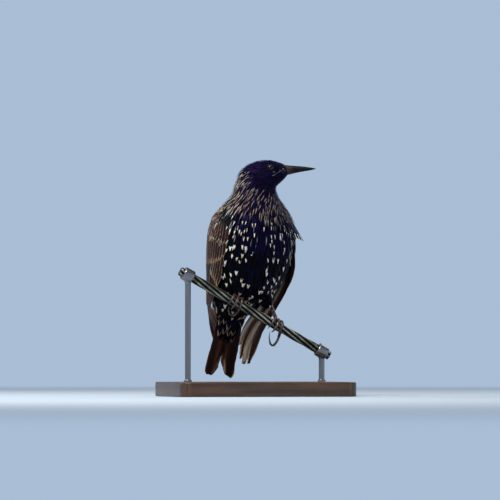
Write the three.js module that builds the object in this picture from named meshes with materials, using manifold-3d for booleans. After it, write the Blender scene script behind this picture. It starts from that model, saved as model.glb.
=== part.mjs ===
// A life-size model of a common starling in its spotted winter plumage. It perches on a cut length of stranded
// wire, which two rods hold over a flat base. Millimetres, +Z up. The origin is the middle of the base's underside.
// +X follows the wire towards its lower end. The bird faces -Y and turns its head to its left, towards +X.
import * as THREE from "three";
import { mergeVertices } from "three/addons/utils/BufferGeometryUtils.js";
import Module from "manifold-3d";

const wasm = await Module();
wasm.setup();

const DEG = Math.PI / 180;

// Clearance between neighbouring pieces, and the thickness of one feather's vane.
const GAP = 0.3;
const VANE = 0.6;

// The display stand: a flat base with bevelled edges, and two round rods that end in collars round the wire.
const BASE = { length: 150, width: 100, height: 12, corner: 9, bevel: 1.2 };
const ROD = { radius: 2.4, collarRadius: 5.6, collarLength: 9 };

// The wire: six strands laid round a core. Its middle lies over the origin, and it runs down towards +X.
const WIRE = { height: 68.7, slope: 28.6 * DEG, length: 146, strands: 6, strand: 1.15, helix: 2.6, lay: 112 };
const WIRE_RADIUS = WIRE.helix + WIRE.strand;

// How the bird is turned: yaw away from -Y towards +X, and the lean of the body and tail from upright, in degrees.
// The tail end of the body is bent to the bird's right, as it balances on the sloping wire.
const BODY_YAW = 7;
const HEAD_YAW = 75;
const BODY_LEAN = 17;
const TAIL_LEAN = 19;
const TAIL_SWING = 5;
const HEAD_TILT = 12;
const BEND = { from: -10, to: -75, side: -10 };

// Where each foot stands along the wire, measured along X from its middle.
const FOOT_X = { right: -17.3, left: 17.7 };

const FEATHERED = new THREE.Color(0x17131f);

// Frames of reference. In each one x is the bird's left, y its back, and z runs up along the body, head or tail.
function frameAt(x, y, z, yaw, lean, roll = 0) {
  return new THREE.Matrix4()
    .makeTranslation(x, y, z)
    .multiply(new THREE.Matrix4().makeRotationZ(yaw * DEG))
    .multiply(new THREE.Matrix4().makeRotationX(lean * DEG))
    .multiply(new THREE.Matrix4().makeRotationY(roll * DEG));
}

const within = (frame, x, y, z) => new THREE.Vector3(x, y, z).applyMatrix4(frame);
const BODY = frameAt(-0.3, 12.5, 122, BODY_YAW, BODY_LEAN);
const HEAD = frameAt(4.5, -6.4, 183, HEAD_YAW, 0, HEAD_TILT);
const TAIL = frameAt(-11, 31, 78, BODY_YAW, TAIL_LEAN, TAIL_SWING);

const lerp = THREE.MathUtils.lerp;
const smooth = THREE.MathUtils.smoothstep;
const bend = (along) => BEND.side * smooth(-along, -BEND.from, -BEND.to);

// The values of a table at t. Each row is [t, ...values]. The curve between rows is smooth and keeps within them.
function between(rows, t) {
  const last = rows.length - 1;
  const at = THREE.MathUtils.clamp(t, rows[0][0], rows[last][0]);
  let low = 0;
  while (low < last - 1 && at > rows[low + 1][0]) low++;
  const span = rows[low + 1][0] - rows[low][0];
  const u = (at - rows[low][0]) / span;
  const slope = (i, k) => (rows[i + 1][k] - rows[i][k]) / (rows[i + 1][0] - rows[i][0]);
  const tangent = (i, k) => {
    if (i === 0) return slope(0, k);
    if (i === last) return slope(last - 1, k);
    const before = slope(i - 1, k);
    const after = slope(i, k);
    return before * after <= 0 ? 0 : (2 * before * after) / (before + after);
  };
  return rows[low].slice(1).map((value, index) => {
    const k = index + 1;
    const next = rows[low + 1][k];
    return (
      value * (1 + 2 * u) * (1 - u) ** 2 +
      next * u ** 2 * (3 - 2 * u) +
      span * (tangent(low, k) * u * (1 - u) ** 2 + tangent(low + 1, k) * u ** 2 * (u - 1))
    );
  });
}

// Turns a closed three.js geometry into a solid, its faces turned outwards.
function solid(geometry) {
  const bare = geometry.clone();
  bare.deleteAttribute("normal");
  bare.deleteAttribute("uv");
  const merged = mergeVertices(bare, 1e-4);
  const vertProperties = merged.attributes.position.array;
  const triVerts = new Uint32Array(merged.index.array);
  const made = new wasm.Manifold(new wasm.Mesh({ numProp: 3, vertProperties, triVerts }));
  if (made.volume() > 0) return made;
  for (let i = 0; i < triVerts.length; i += 3) {
    [triVerts[i + 1], triVerts[i + 2]] = [triVerts[i + 2], triVerts[i + 1]];
  }
  return new wasm.Manifold(new wasm.Mesh({ numProp: 3, vertProperties, triVerts }));
}

// Turns a solid back into a three.js geometry.
function geometryOf(form) {
  const mesh = form.getMesh();
  const position = new Float32Array(mesh.numVert * 3);
  for (let i = 0; i < mesh.numVert; i++) {
    position.set(mesh.vertProperties.subarray(i * mesh.numProp, i * mesh.numProp + 3), i * 3);
  }
  const geometry = new THREE.BufferGeometry();
  geometry.setAttribute("position", new THREE.BufferAttribute(position, 3));
  geometry.setIndex(new THREE.BufferAttribute(new Uint32Array(mesh.triVerts), 1));
  return geometry;
}

// The same form, larger by a clearance on every side.
function grown(form, by = GAP) {
  const geometry = geometryOf(form);
  geometry.computeVertexNormals();
  const { position, normal } = geometry.attributes;
  for (let i = 0; i < position.count; i++) {
    position.setXYZ(
      i,
      position.getX(i) + normal.getX(i) * by,
      position.getY(i) + normal.getY(i) * by,
      position.getZ(i) + normal.getZ(i) * by,
    );
  }
  return solid(geometry);
}

// Keeps the largest closed body of a form.
const largest = (form) => form.decompose().sort((a, b) => b.volume() - a.volume())[0];

// Moves each vertex of a geometry to where map puts it.
function moved(geometry, map) {
  const { position } = geometry.attributes;
  for (let i = 0; i < position.count; i++) {
    const p = map(position.getX(i), position.getY(i), position.getZ(i));
    position.setXYZ(i, p.x, p.y, p.z);
  }
  return geometry;
}

// A closed body of rings, a sphere's rings drawn out along a path. place(t, angle) gives each vertex.
function loft(rings, around, place) {
  const geometry = new THREE.SphereGeometry(1, around, rings);
  const { position } = geometry.attributes;
  for (let row = 0; row <= rings; row++) {
    for (let column = 0; column <= around; column++) {
      const p = place(row / rings, (2 * Math.PI * (column % around)) / around);
      position.setXYZ(row * (around + 1) + column, p.x, p.y, p.z);
    }
  }
  return solid(geometry);
}

// An ellipsoid in a frame.
function ellipsoid(frame, centre, radii, around = 16, rings = 10) {
  const shape = new THREE.SphereGeometry(1, around, rings);
  shape.scale(...radii);
  shape.translate(...centre);
  return solid(shape.applyMatrix4(frame));
}

// A round limb along points. radius(t) tapers it, and both ends are rounded off.
function limb(points, radius, rings, around) {
  const path = new THREE.CatmullRomCurve3(points.map((p) => new THREE.Vector3(...p)));
  const { normals, binormals } = path.computeFrenetFrames(rings);
  return loft(rings, around, (t, angle) => {
    const ring = Math.round(t * rings);
    const r = radius(t) * Math.sqrt(1 - Math.abs(2 * t - 1) ** 8);
    return path
      .getPointAt(t)
      .addScaledVector(normals[ring], r * Math.cos(angle))
      .addScaledVector(binormals[ring], r * Math.sin(angle));
  });
}

// How wide a feather's vane is at t, from its root at 0 to its rounded or pointed tip at 1.
const roundedVane = (t) => Math.min(0.55 + 1.3 * t, 1) * Math.sqrt(1 - 0.96 * smooth(t, 0.62, 1) ** 2);
const bluntVane = (t) => Math.min(0.55 + 1.3 * t, 1) * Math.sqrt(1 - 0.66 * smooth(t, 0.86, 1) ** 2);
const pointedVane = (t) => Math.min(0.6 + 1.2 * t, 1) * (1 - 0.86 * smooth(t, 0.35, 1.08));

// One feather's vane, a thin blade, with a shaft ridge if ridge is 2. place(t, across, height) lays it on the wing,
// tail or body. tilt(t) times the width is how much higher one edge stands, so that it rests on its neighbour.
function vane(place, halfWidth, { steps = 5, ridge = 1, tilt = () => 0, width = roundedVane, camber = 0.25 } = {}) {
  const box = new THREE.BoxGeometry(1, 1, 1, ridge, steps, 1);
  // Both broad faces are cut along the same diagonals, so that a bent vane keeps its thickness.
  const { start, count } = box.groups[5];
  const index = box.index.array;
  for (let k = start; k < start + count; k += 6) {
    const [a, b, , , c, d] = index.slice(k, k + 6);
    index.set([a, b, c, a, c, d], k);
  }
  return solid(
    moved(box, (x, y, z) => {
      const t = y + 0.5;
      const across = 2 * x * halfWidth * width(t);
      const arch = camber * (1 - Math.abs(2 * x)) * (1 - 0.6 * t);
      return place(t, across, z * VANE + arch - tilt(t) * across);
    }),
  );
}

// Small differences between like feathers, the same at every run.
function variation(seed) {
  const wave = Math.sin(seed * 12.9898) * 43758.5453;
  return (wave - Math.floor(wave)) * 2 - 1;
}

// The trunk and neck in one form, from the root of the tail up into the head. Each row gives the ring's centre, its
// yaw and lean, and then its half width and how far it reaches to the front and to the back.
const bodyRing = (along, back, halfWidth, front, rear) => [
  ...within(BODY, bend(along), back, along).toArray(),
  BODY_YAW,
  BODY_LEAN,
  halfWidth,
  front,
  rear,
];
const TRUNK = [
  bodyRing(-64, 7, 0, 0, 0),
  bodyRing(-61, 6.5, 11.5, 7, 6),
  bodyRing(-53, 5, 18.5, 13, 10.5),
  bodyRing(-41, 3, 25, 21, 15.5),
  bodyRing(-26, 1, 30.5, 28, 21),
  bodyRing(-8, 0, 34, 32, 25.5),
  bodyRing(10, 0, 35.5, 34, 27.5),
  bodyRing(25, 0, 34, 32.5, 27),
  [-0.4, 0.6, 159, 12, 10, 26.5, 25.5, 22.5],
  [-0.6, -1.4, 166, 18, 4, 20.6, 19.6, 19],
  [-1, -2.8, 171.5, 22, 1, 18.7, 17, 17],
  [-0.4, -4.2, 178, 25, 0, 17.7, 15, 15.6],
  [1, -5, 187, 25, 0, 0, 0, 0],
].map((row, i) => [i, ...row.slice(0, 5), ...row.slice(5).map((r) => r * r)]);
const TRUNK_RINGS = 24;

function trunkForm() {
  return loft(TRUNK_RINGS, 24, (t, angle) => {
    const [x, y, z, yaw, lean, side, front, rear] = between(TRUNK, t * (TRUNK.length - 1));
    const [halfWidth, before, behind] = [side, front, rear].map((square) => Math.sqrt(Math.max(square, 0)));
    const reach = Math.sin(angle) > 0 ? behind : before;
    return within(frameAt(x, y, z, yaw, lean), halfWidth * Math.cos(angle), reach * Math.sin(angle), 0);
  });
}

// The head, from the back of the skull forward to the feathers round the bill. Each row gives the distance behind
// the head's centre, the heights of crown and chin, and the half width.
const HEAD_ROWS = [
  [21.2, -2.4, -2.4, 0],
  [18, 4.8, -9.4, 7.6],
  [10.4, 10.2, -13.2, 11.9],
  [2, 12.9, -13.7, 13.2],
  [-4.5, 13.3, -12.3, 13.2],
  [-11, 12.3, -9, 11.4],
  [-15.5, 10.9, -5.3, 8.8],
  [-19, 9.5, -2, 6],
  [-21.6, 7.6, 1, 3.4],
  [-22.6, 4.6, 4.6, 0],
].map(([back, top, chin, half], i) => [i, back, (top + chin) / 2, ((top - chin) / 2) ** 2, half ** 2]);

function headForm() {
  return loft(14, 20, (t, angle) => {
    const [back, middle, high, wide] = between(HEAD_ROWS, t * (HEAD_ROWS.length - 1));
    const [halfHeight, halfWidth] = [high, wide].map((square) => Math.sqrt(Math.max(square, 0)));
    return within(HEAD, halfWidth * Math.cos(angle), back, middle + halfHeight * Math.sin(angle));
  });
}

// The bill, straight and pointed. Each row gives the distance behind the head's centre, the heights of the ridge and
// the underside, and the half width.
const BILL_TIP = -44.6;
const BILL_ROWS = [
  [-13.5, 4.8, 4.8, 0],
  [-15, 7, 2.2, 3],
  [-18.5, 9.2, 0.4, 4.2],
  [-22.2, 8.9, 1.1, 3.7],
  [-27, 8.5, 2.3, 2.85],
  [-32.8, 8.1, 3.5, 2.15],
  [-38.5, 7.4, 4.5, 1.5],
  [-42.8, 6.7, 5.4, 0.75],
  [BILL_TIP, 6, 6, 0],
].map(([back, top, bottom, half], i) => [i, back, (top + bottom) / 2, ((top - bottom) / 2) ** 2, half ** 2]);
const MOUTH_LINE = { back: -18, height: 3.5, slope: 5 };

function billForm() {
  return loft(14, 12, (t, angle) => {
    const [back, middle, high, wide] = between(BILL_ROWS, t * (BILL_ROWS.length - 1));
    const [halfHeight, halfWidth] = [high, wide].map((square) => Math.sqrt(Math.max(square, 0)));
    return within(HEAD, halfWidth * Math.cos(angle), back, middle + halfHeight * Math.sin(angle));
  });
}

// A plane through a point, across a direction. cutAbove and cutBelow keep one side, half a gap clear of it.
const plane = (point, across) => ({ point, normal: across.normalize() });
function cutAbove(form, { point, normal }) {
  return form.trimByPlane(normal.toArray(), normal.dot(point) + GAP / 2);
}
function cutBelow(form, { point, normal }) {
  return form.trimByPlane(normal.clone().negate().toArray(), -normal.dot(point) + GAP / 2);
}

const direction = (frame, x, y, z) => new THREE.Vector3(x, y, z).transformDirection(frame);
const NECK_BASE = plane(new THREE.Vector3(-0.5, 0.5, 160.5), new THREE.Vector3(0.03, -0.16, 1));
const HEAD_BASE = plane(within(HEAD, 0, 0, -8.5), direction(HEAD, 0, -0.12, 1));
const MOUTH = plane(
  within(HEAD, 0, MOUTH_LINE.back, MOUTH_LINE.height),
  direction(HEAD, 0, Math.sin(MOUTH_LINE.slope * DEG), Math.cos(MOUTH_LINE.slope * DEG)),
);

// The eyes, in their place on each side of the head, looking a little forward.
const EYE = { radius: 3.2, side: 10.1, back: -6.6, height: 4, forward: 18 * DEG };
const LID = { radius: 2.75, thickness: 0.55, out: 1.95 };
const eyeCentre = (side) => [side * EYE.side, EYE.back, EYE.height];
const eyeForm = (side) => ellipsoid(HEAD, eyeCentre(side), [EYE.radius, EYE.radius, EYE.radius], 14, 8);

// The lids, a low ring round the eye.
function lidForm(side) {
  const ring = new THREE.TorusGeometry(LID.radius, LID.thickness, 5, 14);
  ring.rotateY(Math.PI / 2);
  ring.translate(LID.out, 0, 0);
  ring.rotateZ(Math.PI / 2 - side * (Math.PI / 2 + EYE.forward));
  ring.translate(...eyeCentre(side));
  return solid(ring.applyMatrix4(HEAD));
}

// A shallow groove behind each corner of the mouth, and a nostril on each side of the upper bill.
const gapeGroove = (side) => {
  const frame = HEAD.clone().multiply(frameAt(side * 7.4, -16.6, 2.2, side * 28, 32));
  return ellipsoid(frame, [0, 0, 0], [1.4, 5.2, 0.35], 12, 6);
};
const nostril = (side) => ellipsoid(HEAD, [side * 3.1, -22.8, 6.4], [0.9, 1.5, 0.55], 10, 6);

// A tuft of feathers at the left side of the breast, which stands out over the bend of the wing.
const TUFT = { feathers: 4, half: 3.4, root: 35, length: 20, step: 1.5, angle: -24, spread: 7 };
const TUFT_OUT = { side: 34.2, front: 32.1, sunk: 7, stand: 6 };

function breastTuft() {
  const feathers = [];
  for (let i = 0; i < TUFT.feathers; i++) {
    const angle = (TUFT.angle - TUFT.spread * (i - 1)) * DEG;
    const stand = TUFT_OUT.stand * (1 - 0.22 * i);
    const place = (t, across, height) => {
      const along = TUFT.root - TUFT.step * i - t * TUFT.length * (1 - 0.08 * i);
      const lift = stand * t ** 1.7 - TUFT_OUT.sunk * (1 - t) ** 1.6 + height;
      const turn = angle + across / TUFT_OUT.side;
      return within(BODY, (TUFT_OUT.side + lift) * Math.cos(turn), (TUFT_OUT.front + lift) * Math.sin(turn), along);
    };
    feathers.push(vane(place, TUFT.half, { width: pointedVane, ridge: 2 }));
  }
  return feathers;
}

// The surface that a folded wing lies on, down the side of the body and over the root of the tail. Each row gives
// the height along the body, the angle of the wing's leading edge, below or above the side of the body, and then the
// half width and half depth of the surface and how far back its middle lies. The last is how much further back the
// left wing's leading edge lies, which is tucked under the feathers of the flank.
const WING_FORM = [
  [-104, 66, 10.5, 7, 6.4, 8],
  [-92, 48, 13, 8.5, 6, 12],
  [-66, 10, 20, 13, 4.6, 25],
  [-44, -20, 28.5, 20.5, 2, 38],
  [-26, -31, 33.5, 25, 0.5, 41],
  [-9, -33, 36.5, 28, 0, 43],
  [10, -33, 36.6, 29, 0, 41],
  [23, -31, 34.6, 28.2, 0, 35],
  [36, -27, 28.8, 25.6, 0, 25],
  [46, -20, 22.6, 21.4, 0, 18],
];

// The left wing also droops and swings out a little from its wrist, clear of the tail, and fans its primaries.
const WINGS = {
  right: { side: -1, tuck: 0, droop: 0, swing: 0, fan: 0 },
  left: { side: 1, tuck: 1, droop: 9, swing: 6.2, fan: 0.3 },
};
const WRIST = [33, -6, 27];
const WING_BEND = 0.75;

// A point on a folded wing: along the body, across from the leading edge, and above the wing's surface.
function wingPoint(wing, along, across, height) {
  const [lead, halfWidth, depth, back, tuck] = between(WING_FORM, along);
  const angle = (lead + wing.tuck * tuck) * DEG + across / ((halfWidth + depth) / 2);
  const normal = new THREE.Vector2(depth * Math.cos(angle), halfWidth * Math.sin(angle)).normalize();
  const x = halfWidth * Math.cos(angle) + normal.x * height;
  const y = back + depth * Math.sin(angle) + normal.y * height;
  const point = new THREE.Vector3(x * wing.side + WING_BEND * bend(along), y, along);
  const wrist = new THREE.Vector3(WRIST[0] * wing.side, WRIST[1], WRIST[2]);
  point.sub(wrist);
  point.applyAxisAngle(new THREE.Vector3(1, 0, 0), -wing.droop * DEG);
  point.applyAxisAngle(new THREE.Vector3(0, 1, 0), -wing.side * wing.swing * DEG);
  return point.add(wrist).applyMatrix4(BODY);
}

// The tiers of a wing, from the primaries up to the scapulars. Each gives its number of feathers and half width, and
// then for its first and last feather where the root and the tip lie, along and across, and their heights.
const TIERS = {
  secondary: { n: 3, half: 4.6, root: [2, 2], tip: [-50, -43], from: [21, 31], to: [16, 26], up: [-0.7, 0.4] },
  tertial: { n: 3, half: 5.6, root: [4, 6], tip: [-38, -14], from: [36, 46], to: [31, 42], up: [-0.6, 0.9] },
  primaryCovert: { n: 2, half: 3.2, root: [6, 6], tip: [-24, -18], from: [4, 9], to: [4, 9], up: [-0.3, 1] },
  greaterCovert: { n: 5, half: 5, root: [10, 11], tip: [-8, -3], from: [11, 42], to: [11, 39], up: [-0.2, 1.2] },
  medianCovert: { n: 4, half: 6, root: [20, 22], tip: [6, 10], from: [8, 40], to: [8, 39], up: [0.1, 1.4] },
};
const PRIMARIES = { n: 6, half: 2.9, root: 2, tip: -93, shorter: 0.7, step: 0.95, from: 4, gap: 2.7, toGap: 2.2 };

// Each feather's surface lies this much above its outer neighbour's, so that they overlap and don't touch.
const LAYER = 0.92;

function wingFeather(wing, half, root, tip, from, to, up, options) {
  const place = (t, across, height) =>
    wingPoint(wing, lerp(root, tip, t), lerp(from, to, t) + across, lerp(up[0], up[1], Math.sqrt(t)) + height);
  return vane(place, half, options);
}

// Under the coverts the wing has a flat core, which joins the roots. Along, across and through the wing.
const WING_CORE = { centre: [13, 29, -1.8], radii: [27, 30, 3.2] };

function wingForm(wing) {
  const core = new THREE.SphereGeometry(1, 12, 8);
  core.rotateZ(Math.PI / 2);
  core.scale(...WING_CORE.radii);
  core.translate(...WING_CORE.centre);
  moved(core, (along, across, height) => wingPoint(wing, along, across, height));
  const feathers = [solid(core)];
  for (let i = 0; i < PRIMARIES.n; i++) {
    const tip = PRIMARIES.tip + PRIMARIES.shorter * i + PRIMARIES.step * i * i;
    const from = PRIMARIES.from + PRIMARIES.gap * i;
    const toGap = PRIMARIES.toGap + wing.fan;
    const to = PRIMARIES.from + toGap * i;
    const tilt = (t) => LAYER / lerp(PRIMARIES.gap, toGap, t);
    feathers.push(wingFeather(wing, PRIMARIES.half, PRIMARIES.root, tip, from, to, [-1, 0], { steps: 6, tilt }));
  }
  Object.values(TIERS).forEach((tier, level) => {
    const [spacing, toSpacing] = [tier.from, tier.to].map(([a, b]) => (b - a) / (tier.n - 1));
    const tilt = (t) => LAYER / lerp(spacing, toSpacing, t);
    for (let i = 0; i < tier.n; i++) {
      const share = i / (tier.n - 1);
      const [root, tip, from, to] = [tier.root, tier.tip, tier.from, tier.to].map(([a, b]) => lerp(a, b, share));
      const change = 0.9 * variation(level * 20 + i);
      const steps = root - tip > 40 ? 4 : 3;
      feathers.push(wingFeather(wing, tier.half, root, tip + change, from, to, tier.up, { steps, tilt }));
    }
  });
  return feathers;
}

// The tail: a short root, twelve tail feathers in two stacks that part at the tip, and the coverts over and under it.
const RECTRIX = { perSide: 6, half: 5.3, root: -2, outer: 62, shorter: 1.3, offset: 5.8, step: 0.56, layer: 0.92 };
const TAIL_ROOT = { centre: [0, 0, -4], radii: [13, 7, 17] };
const TAIL_COVERTS = [
  { n: 5, spread: 12, tip: -18, back: [-6, -6.4], half: 4.6 },
  { n: 4, spread: 7.5, tip: -29, back: [-4.6, -3.8], half: 4.4 },
  { n: 5, spread: 9.5, tip: -22, back: [5, 3.6], half: 4.4 },
];

function tailForm() {
  const parts = [ellipsoid(TAIL, TAIL_ROOT.centre, TAIL_ROOT.radii, 16, 10)];
  for (const side of [-1, 1]) {
    for (let k = 0; k < RECTRIX.perSide; k++) {
      const length = RECTRIX.outer - RECTRIX.shorter * (RECTRIX.perSide - 1 - k);
      const offset = RECTRIX.offset + RECTRIX.step * k;
      const layer = RECTRIX.layer * ((RECTRIX.perSide - 1) / 2 - k);
      const place = (t, across, height) => {
        const x = side * lerp(2.2 + 0.6 * k, offset, t ** 0.7) + across;
        const reach = t * (length + 0.6 * side * across * smooth(t, 0.5, 1));
        return within(TAIL, x, layer + height - 0.008 * x * x, RECTRIX.root - reach);
      };
      parts.push(vane(place, RECTRIX.half, { steps: 6, width: bluntVane }));
    }
  }
  TAIL_COVERTS.forEach((row, level) => {
    for (let i = 0; i < row.n; i++) {
      const share = i / (row.n - 1) - 0.5;
      const tip = row.tip + 10 * share * share + 0.8 * variation(level * 10 + i);
      const place = (t, across, height) =>
        within(
          TAIL,
          2 * share * row.spread * lerp(0.6, 1, t) + across,
          lerp(row.back[0], row.back[1], t) * (1 - 0.35 * Math.abs(share)) - height * Math.sign(-row.back[0]),
          lerp(2, tip, t),
        );
      parts.push(vane(place, row.half, { width: pointedVane, steps: 4 }));
    }
  });
  return parts;
}

// The wire's own direction, and the point on its centreline over x.
const ALONG_WIRE = new THREE.Vector3(Math.cos(WIRE.slope), 0, -Math.sin(WIRE.slope));
const OVER_WIRE = new THREE.Vector3(Math.sin(WIRE.slope), 0, Math.cos(WIRE.slope));
const FRONT = new THREE.Vector3(0, -1, 0);
const onWire = (x) => new THREE.Vector3(x, 0, WIRE.height - x * Math.tan(WIRE.slope));

// A toe that wraps the wire: it leaves the foot at one angle round the wire and ends at another, where 0 is the top
// and 90 the front, and drifts sideways along the wire.
const TOES = {
  inner: { from: -38, to: 118, side: -3.3, drift: -1.6, radius: 1.15, claw: 46 },
  middle: { from: -40, to: 158, side: 0, drift: 0, radius: 1.25, claw: 50 },
  outer: { from: -38, to: 112, side: 3.3, drift: 1.4, radius: 1.1, claw: 44 },
};

function roundWire(x, angle, sideways, distance) {
  return onWire(x)
    .addScaledVector(ALONG_WIRE, sideways)
    .addScaledVector(OVER_WIRE, distance * Math.cos(angle * DEG))
    .addScaledVector(FRONT, distance * Math.sin(angle * DEG))
    .toArray();
}

// Joints thicken a toe's underside a little.
const knuckled = (radius, bends) => (t) => radius * (1 - 0.18 * t + 0.09 * Math.cos(2 * Math.PI * bends * t));
const clawTaper = (radius) => (t) => radius * (1 - 0.85 * t);

function frontToe(x, toe) {
  const distance = WIRE_RADIUS + toe.radius * 1.09 + GAP;
  const points = [];
  for (let i = 0; i <= 8; i++) {
    const share = i / 8;
    const sideways = lerp(toe.side * 0.45, toe.side + toe.drift, Math.sqrt(share));
    points.push(roundWire(x, lerp(toe.from, toe.to, share), sideways, distance));
  }
  return limb(points, knuckled(toe.radius, 3), 10, 6);
}

function frontClaw(x, toe) {
  const distance = WIRE_RADIUS + toe.radius * 1.09 + GAP;
  const points = [];
  for (let i = 0; i <= 5; i++) {
    const share = i / 5;
    const away = distance + 0.35 + 1.3 * share * share;
    points.push(roundWire(x, toe.to - 9 + (toe.claw + 9) * share, toe.side + toe.drift * (1 + 0.3 * share), away));
  }
  return limb(points, clawTaper(0.72), 6, 6);
}

// The hind toe hangs behind and below the wire, and its long claw hooks up in front. Offsets from the foot's centre
// on the wire: along X, back and up. The right foot's hangs less far.
const HIND_TOE = [
  [0.8, 3.4, 4.6],
  [4.4, 5.8, 1.2],
  [5.4, 5.6, -5],
  [2.6, 3.6, -12.4],
  [-1, 1.8, -16.6],
  [-2.4, 0.8, -17],
];
const HIND_CLAW = [[-1.4, 1.4, -16.9], [-4.4, 0, -15.6], [-6, -1.9, -9.6], [-5.4, -3, -4.4]];
const HANG = { right: 0.66, left: 1 };
const fromFoot = (x, offsets, hang) =>
  offsets.map(([dx, dy, dz]) => new THREE.Vector3(dx, dy, dz < 0 ? dz * hang : dz).add(onWire(x)).toArray());
const hindToe = (x, hang) => limb(fromFoot(x, HIND_TOE, hang), knuckled(1.3, 2), 11, 6);
const hindClaw = (x, hang) => limb(fromFoot(x, HIND_CLAW, hang), clawTaper(1), 7, 6);

// The tarsus rises from the back of the foot into the feathers of the belly. A lobe of feathers covers its upper end.
const LEGS = {
  right: { ankle: [-14.5, 15, 99], thigh: [-13.5, 12.5, 99], toKnee: [-0.2, -0.36, -0.91], radii: [8, 8, 14] },
  left: { ankle: [12, 16, 91], thigh: [10, 15.5, 92], toKnee: [0.2, -0.33, -0.92], radii: [9, 9, 21] },
};
const PALM = { back: 2.7, up: 4.7, radii: [3.6, 2.4, 1.7] };

function palmForm(x) {
  const centre = onWire(x).addScaledVector(OVER_WIRE, PALM.up).addScaledVector(FRONT, -PALM.back);
  const frame = new THREE.Matrix4().makeTranslation(...centre.toArray());
  return ellipsoid(frame.multiply(new THREE.Matrix4().makeRotationY(WIRE.slope)), [0, 0, 0], PALM.radii, 10, 6);
}

function tarsusForm(x, leg) {
  const foot = onWire(x).addScaledVector(OVER_WIRE, PALM.up - 0.6).addScaledVector(FRONT, -PALM.back);
  const ankle = new THREE.Vector3(...leg.ankle);
  const middle = foot.clone().lerp(ankle, 0.5).add(new THREE.Vector3(0, 0.8, -0.4));
  return limb([foot, middle, ankle].map((p) => p.toArray()), (t) => 1.8 - 0.5 * Math.sin(Math.PI * t), 8, 8);
}

function thighForm({ thigh, toKnee, radii }) {
  const down = new THREE.Vector3(0, 0, -1);
  const turn = new THREE.Quaternion().setFromUnitVectors(down, new THREE.Vector3(...toKnee).normalize());
  const frame = new THREE.Matrix4().compose(new THREE.Vector3(...thigh), turn, new THREE.Vector3(1, 1, 1));
  return ellipsoid(frame, [0, 0, 0], radii, 16, 12);
}

// The wire's core and strands, and the rods and base that hold it.
function strandForm(index) {
  const steps = 22;
  const points = [];
  for (let i = 0; i <= steps; i++) {
    const along = WIRE.length * (i / steps - 0.5);
    const turn = 360 * (along / WIRE.lay + index / WIRE.strands);
    points.push(
      new THREE.Vector3(0, 0, WIRE.height)
        .addScaledVector(ALONG_WIRE, along)
        .addScaledVector(OVER_WIRE, WIRE.helix * Math.cos(turn * DEG))
        .addScaledVector(FRONT, WIRE.helix * Math.sin(turn * DEG)),
    );
  }
  const section = new THREE.Shape().absarc(0, 0, WIRE.strand, 0, 2 * Math.PI, false);
  const extrudePath = new THREE.CatmullRomCurve3(points);
  return solid(new THREE.ExtrudeGeometry(section, { steps, extrudePath, curveSegments: 3, bevelEnabled: false }));
}

function alongWire(radius, length, centre, sides) {
  const rod = new THREE.CylinderGeometry(radius, radius, length, sides);
  rod.rotateZ(Math.PI / 2);
  rod.rotateY(WIRE.slope);
  rod.translate(...centre.toArray());
  return solid(rod);
}

function rodForm(end) {
  const along = end * (WIRE.length / 2 - ROD.collarLength / 2 - 3);
  const centre = new THREE.Vector3(0, 0, WIRE.height).addScaledVector(ALONG_WIRE, along);
  const foot = BASE.height + GAP;
  const rod = new THREE.CylinderGeometry(ROD.radius, ROD.radius, centre.z - foot, 16);
  rod.rotateX(Math.PI / 2);
  rod.translate(centre.x, 0, (centre.z + foot) / 2);
  const collar = alongWire(ROD.collarRadius, ROD.collarLength, centre, 24);
  return largest(solid(rod).add(collar).subtract(alongWire(WIRE_RADIUS + GAP, 30, centre, 20)));
}

function baseForm() {
  const { length, width, height, corner, bevel } = BASE;
  const [x, y] = [length / 2 - bevel, width / 2 - bevel];
  const outline = new THREE.Shape();
  outline.moveTo(-x + corner, -y);
  outline.lineTo(x - corner, -y);
  outline.absarc(x - corner, -y + corner, corner, -Math.PI / 2, 0, false);
  outline.absarc(x - corner, y - corner, corner, 0, Math.PI / 2, false);
  outline.absarc(-x + corner, y - corner, corner, Math.PI / 2, Math.PI, false);
  outline.absarc(-x + corner, -y + corner, corner, Math.PI, 1.5 * Math.PI, false);
  const slab = new THREE.ExtrudeGeometry(outline, {
    depth: height - 2 * bevel,
    bevelThickness: bevel,
    bevelSize: bevel,
    bevelSegments: 1,
    curveSegments: 5,
  });
  slab.translate(0, 0, bevel);
  return solid(slab);
}

// Finishes: the sheen of dark plumage, horn, the skin of the feet, and the stand.
const finish = (color, roughness, metalness = 0) => new THREE.MeshStandardMaterial({ color, roughness, metalness });
const PLUMAGE = finish(FEATHERED, 0.45);
const WING_PLUMAGE = finish(0x3a2a20, 0.6);
const BILL_HORN = finish(0x2a2526, 0.4);
const CLAW_HORN = finish(0x1c1614, 0.4);
const LEG_SKIN = finish(0x5e3f38, 0.6);
const EYE_DARK = finish(0x120b08, 0.08);
const WIRE_METAL = finish(0x4b4b46, 0.5, 0.8);
const ROD_STEEL = finish(0xb9bbbd, 0.3, 1);
const BASE_WOOD = finish(0x6b4a32, 0.5);

const bird = new THREE.Group();

function add(name, form, material) {
  const mesh = new THREE.Mesh(geometryOf(form), material);
  mesh.name = name;
  bird.add(mesh);
}

// The body is modelled whole and parted by thin cuts.
const trunk = trunkForm();
const skull = headForm();
const bill = billForm();
const tuft = breastTuft();
const thighs = Object.values(LEGS).map(thighForm);
const torsoClear = wasm.Manifold.union([trunk, ...tuft, ...thighs].map((form) => grown(form)));
const whole = trunk.add(skull);
const sides = { right: -1, left: 1 };

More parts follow.
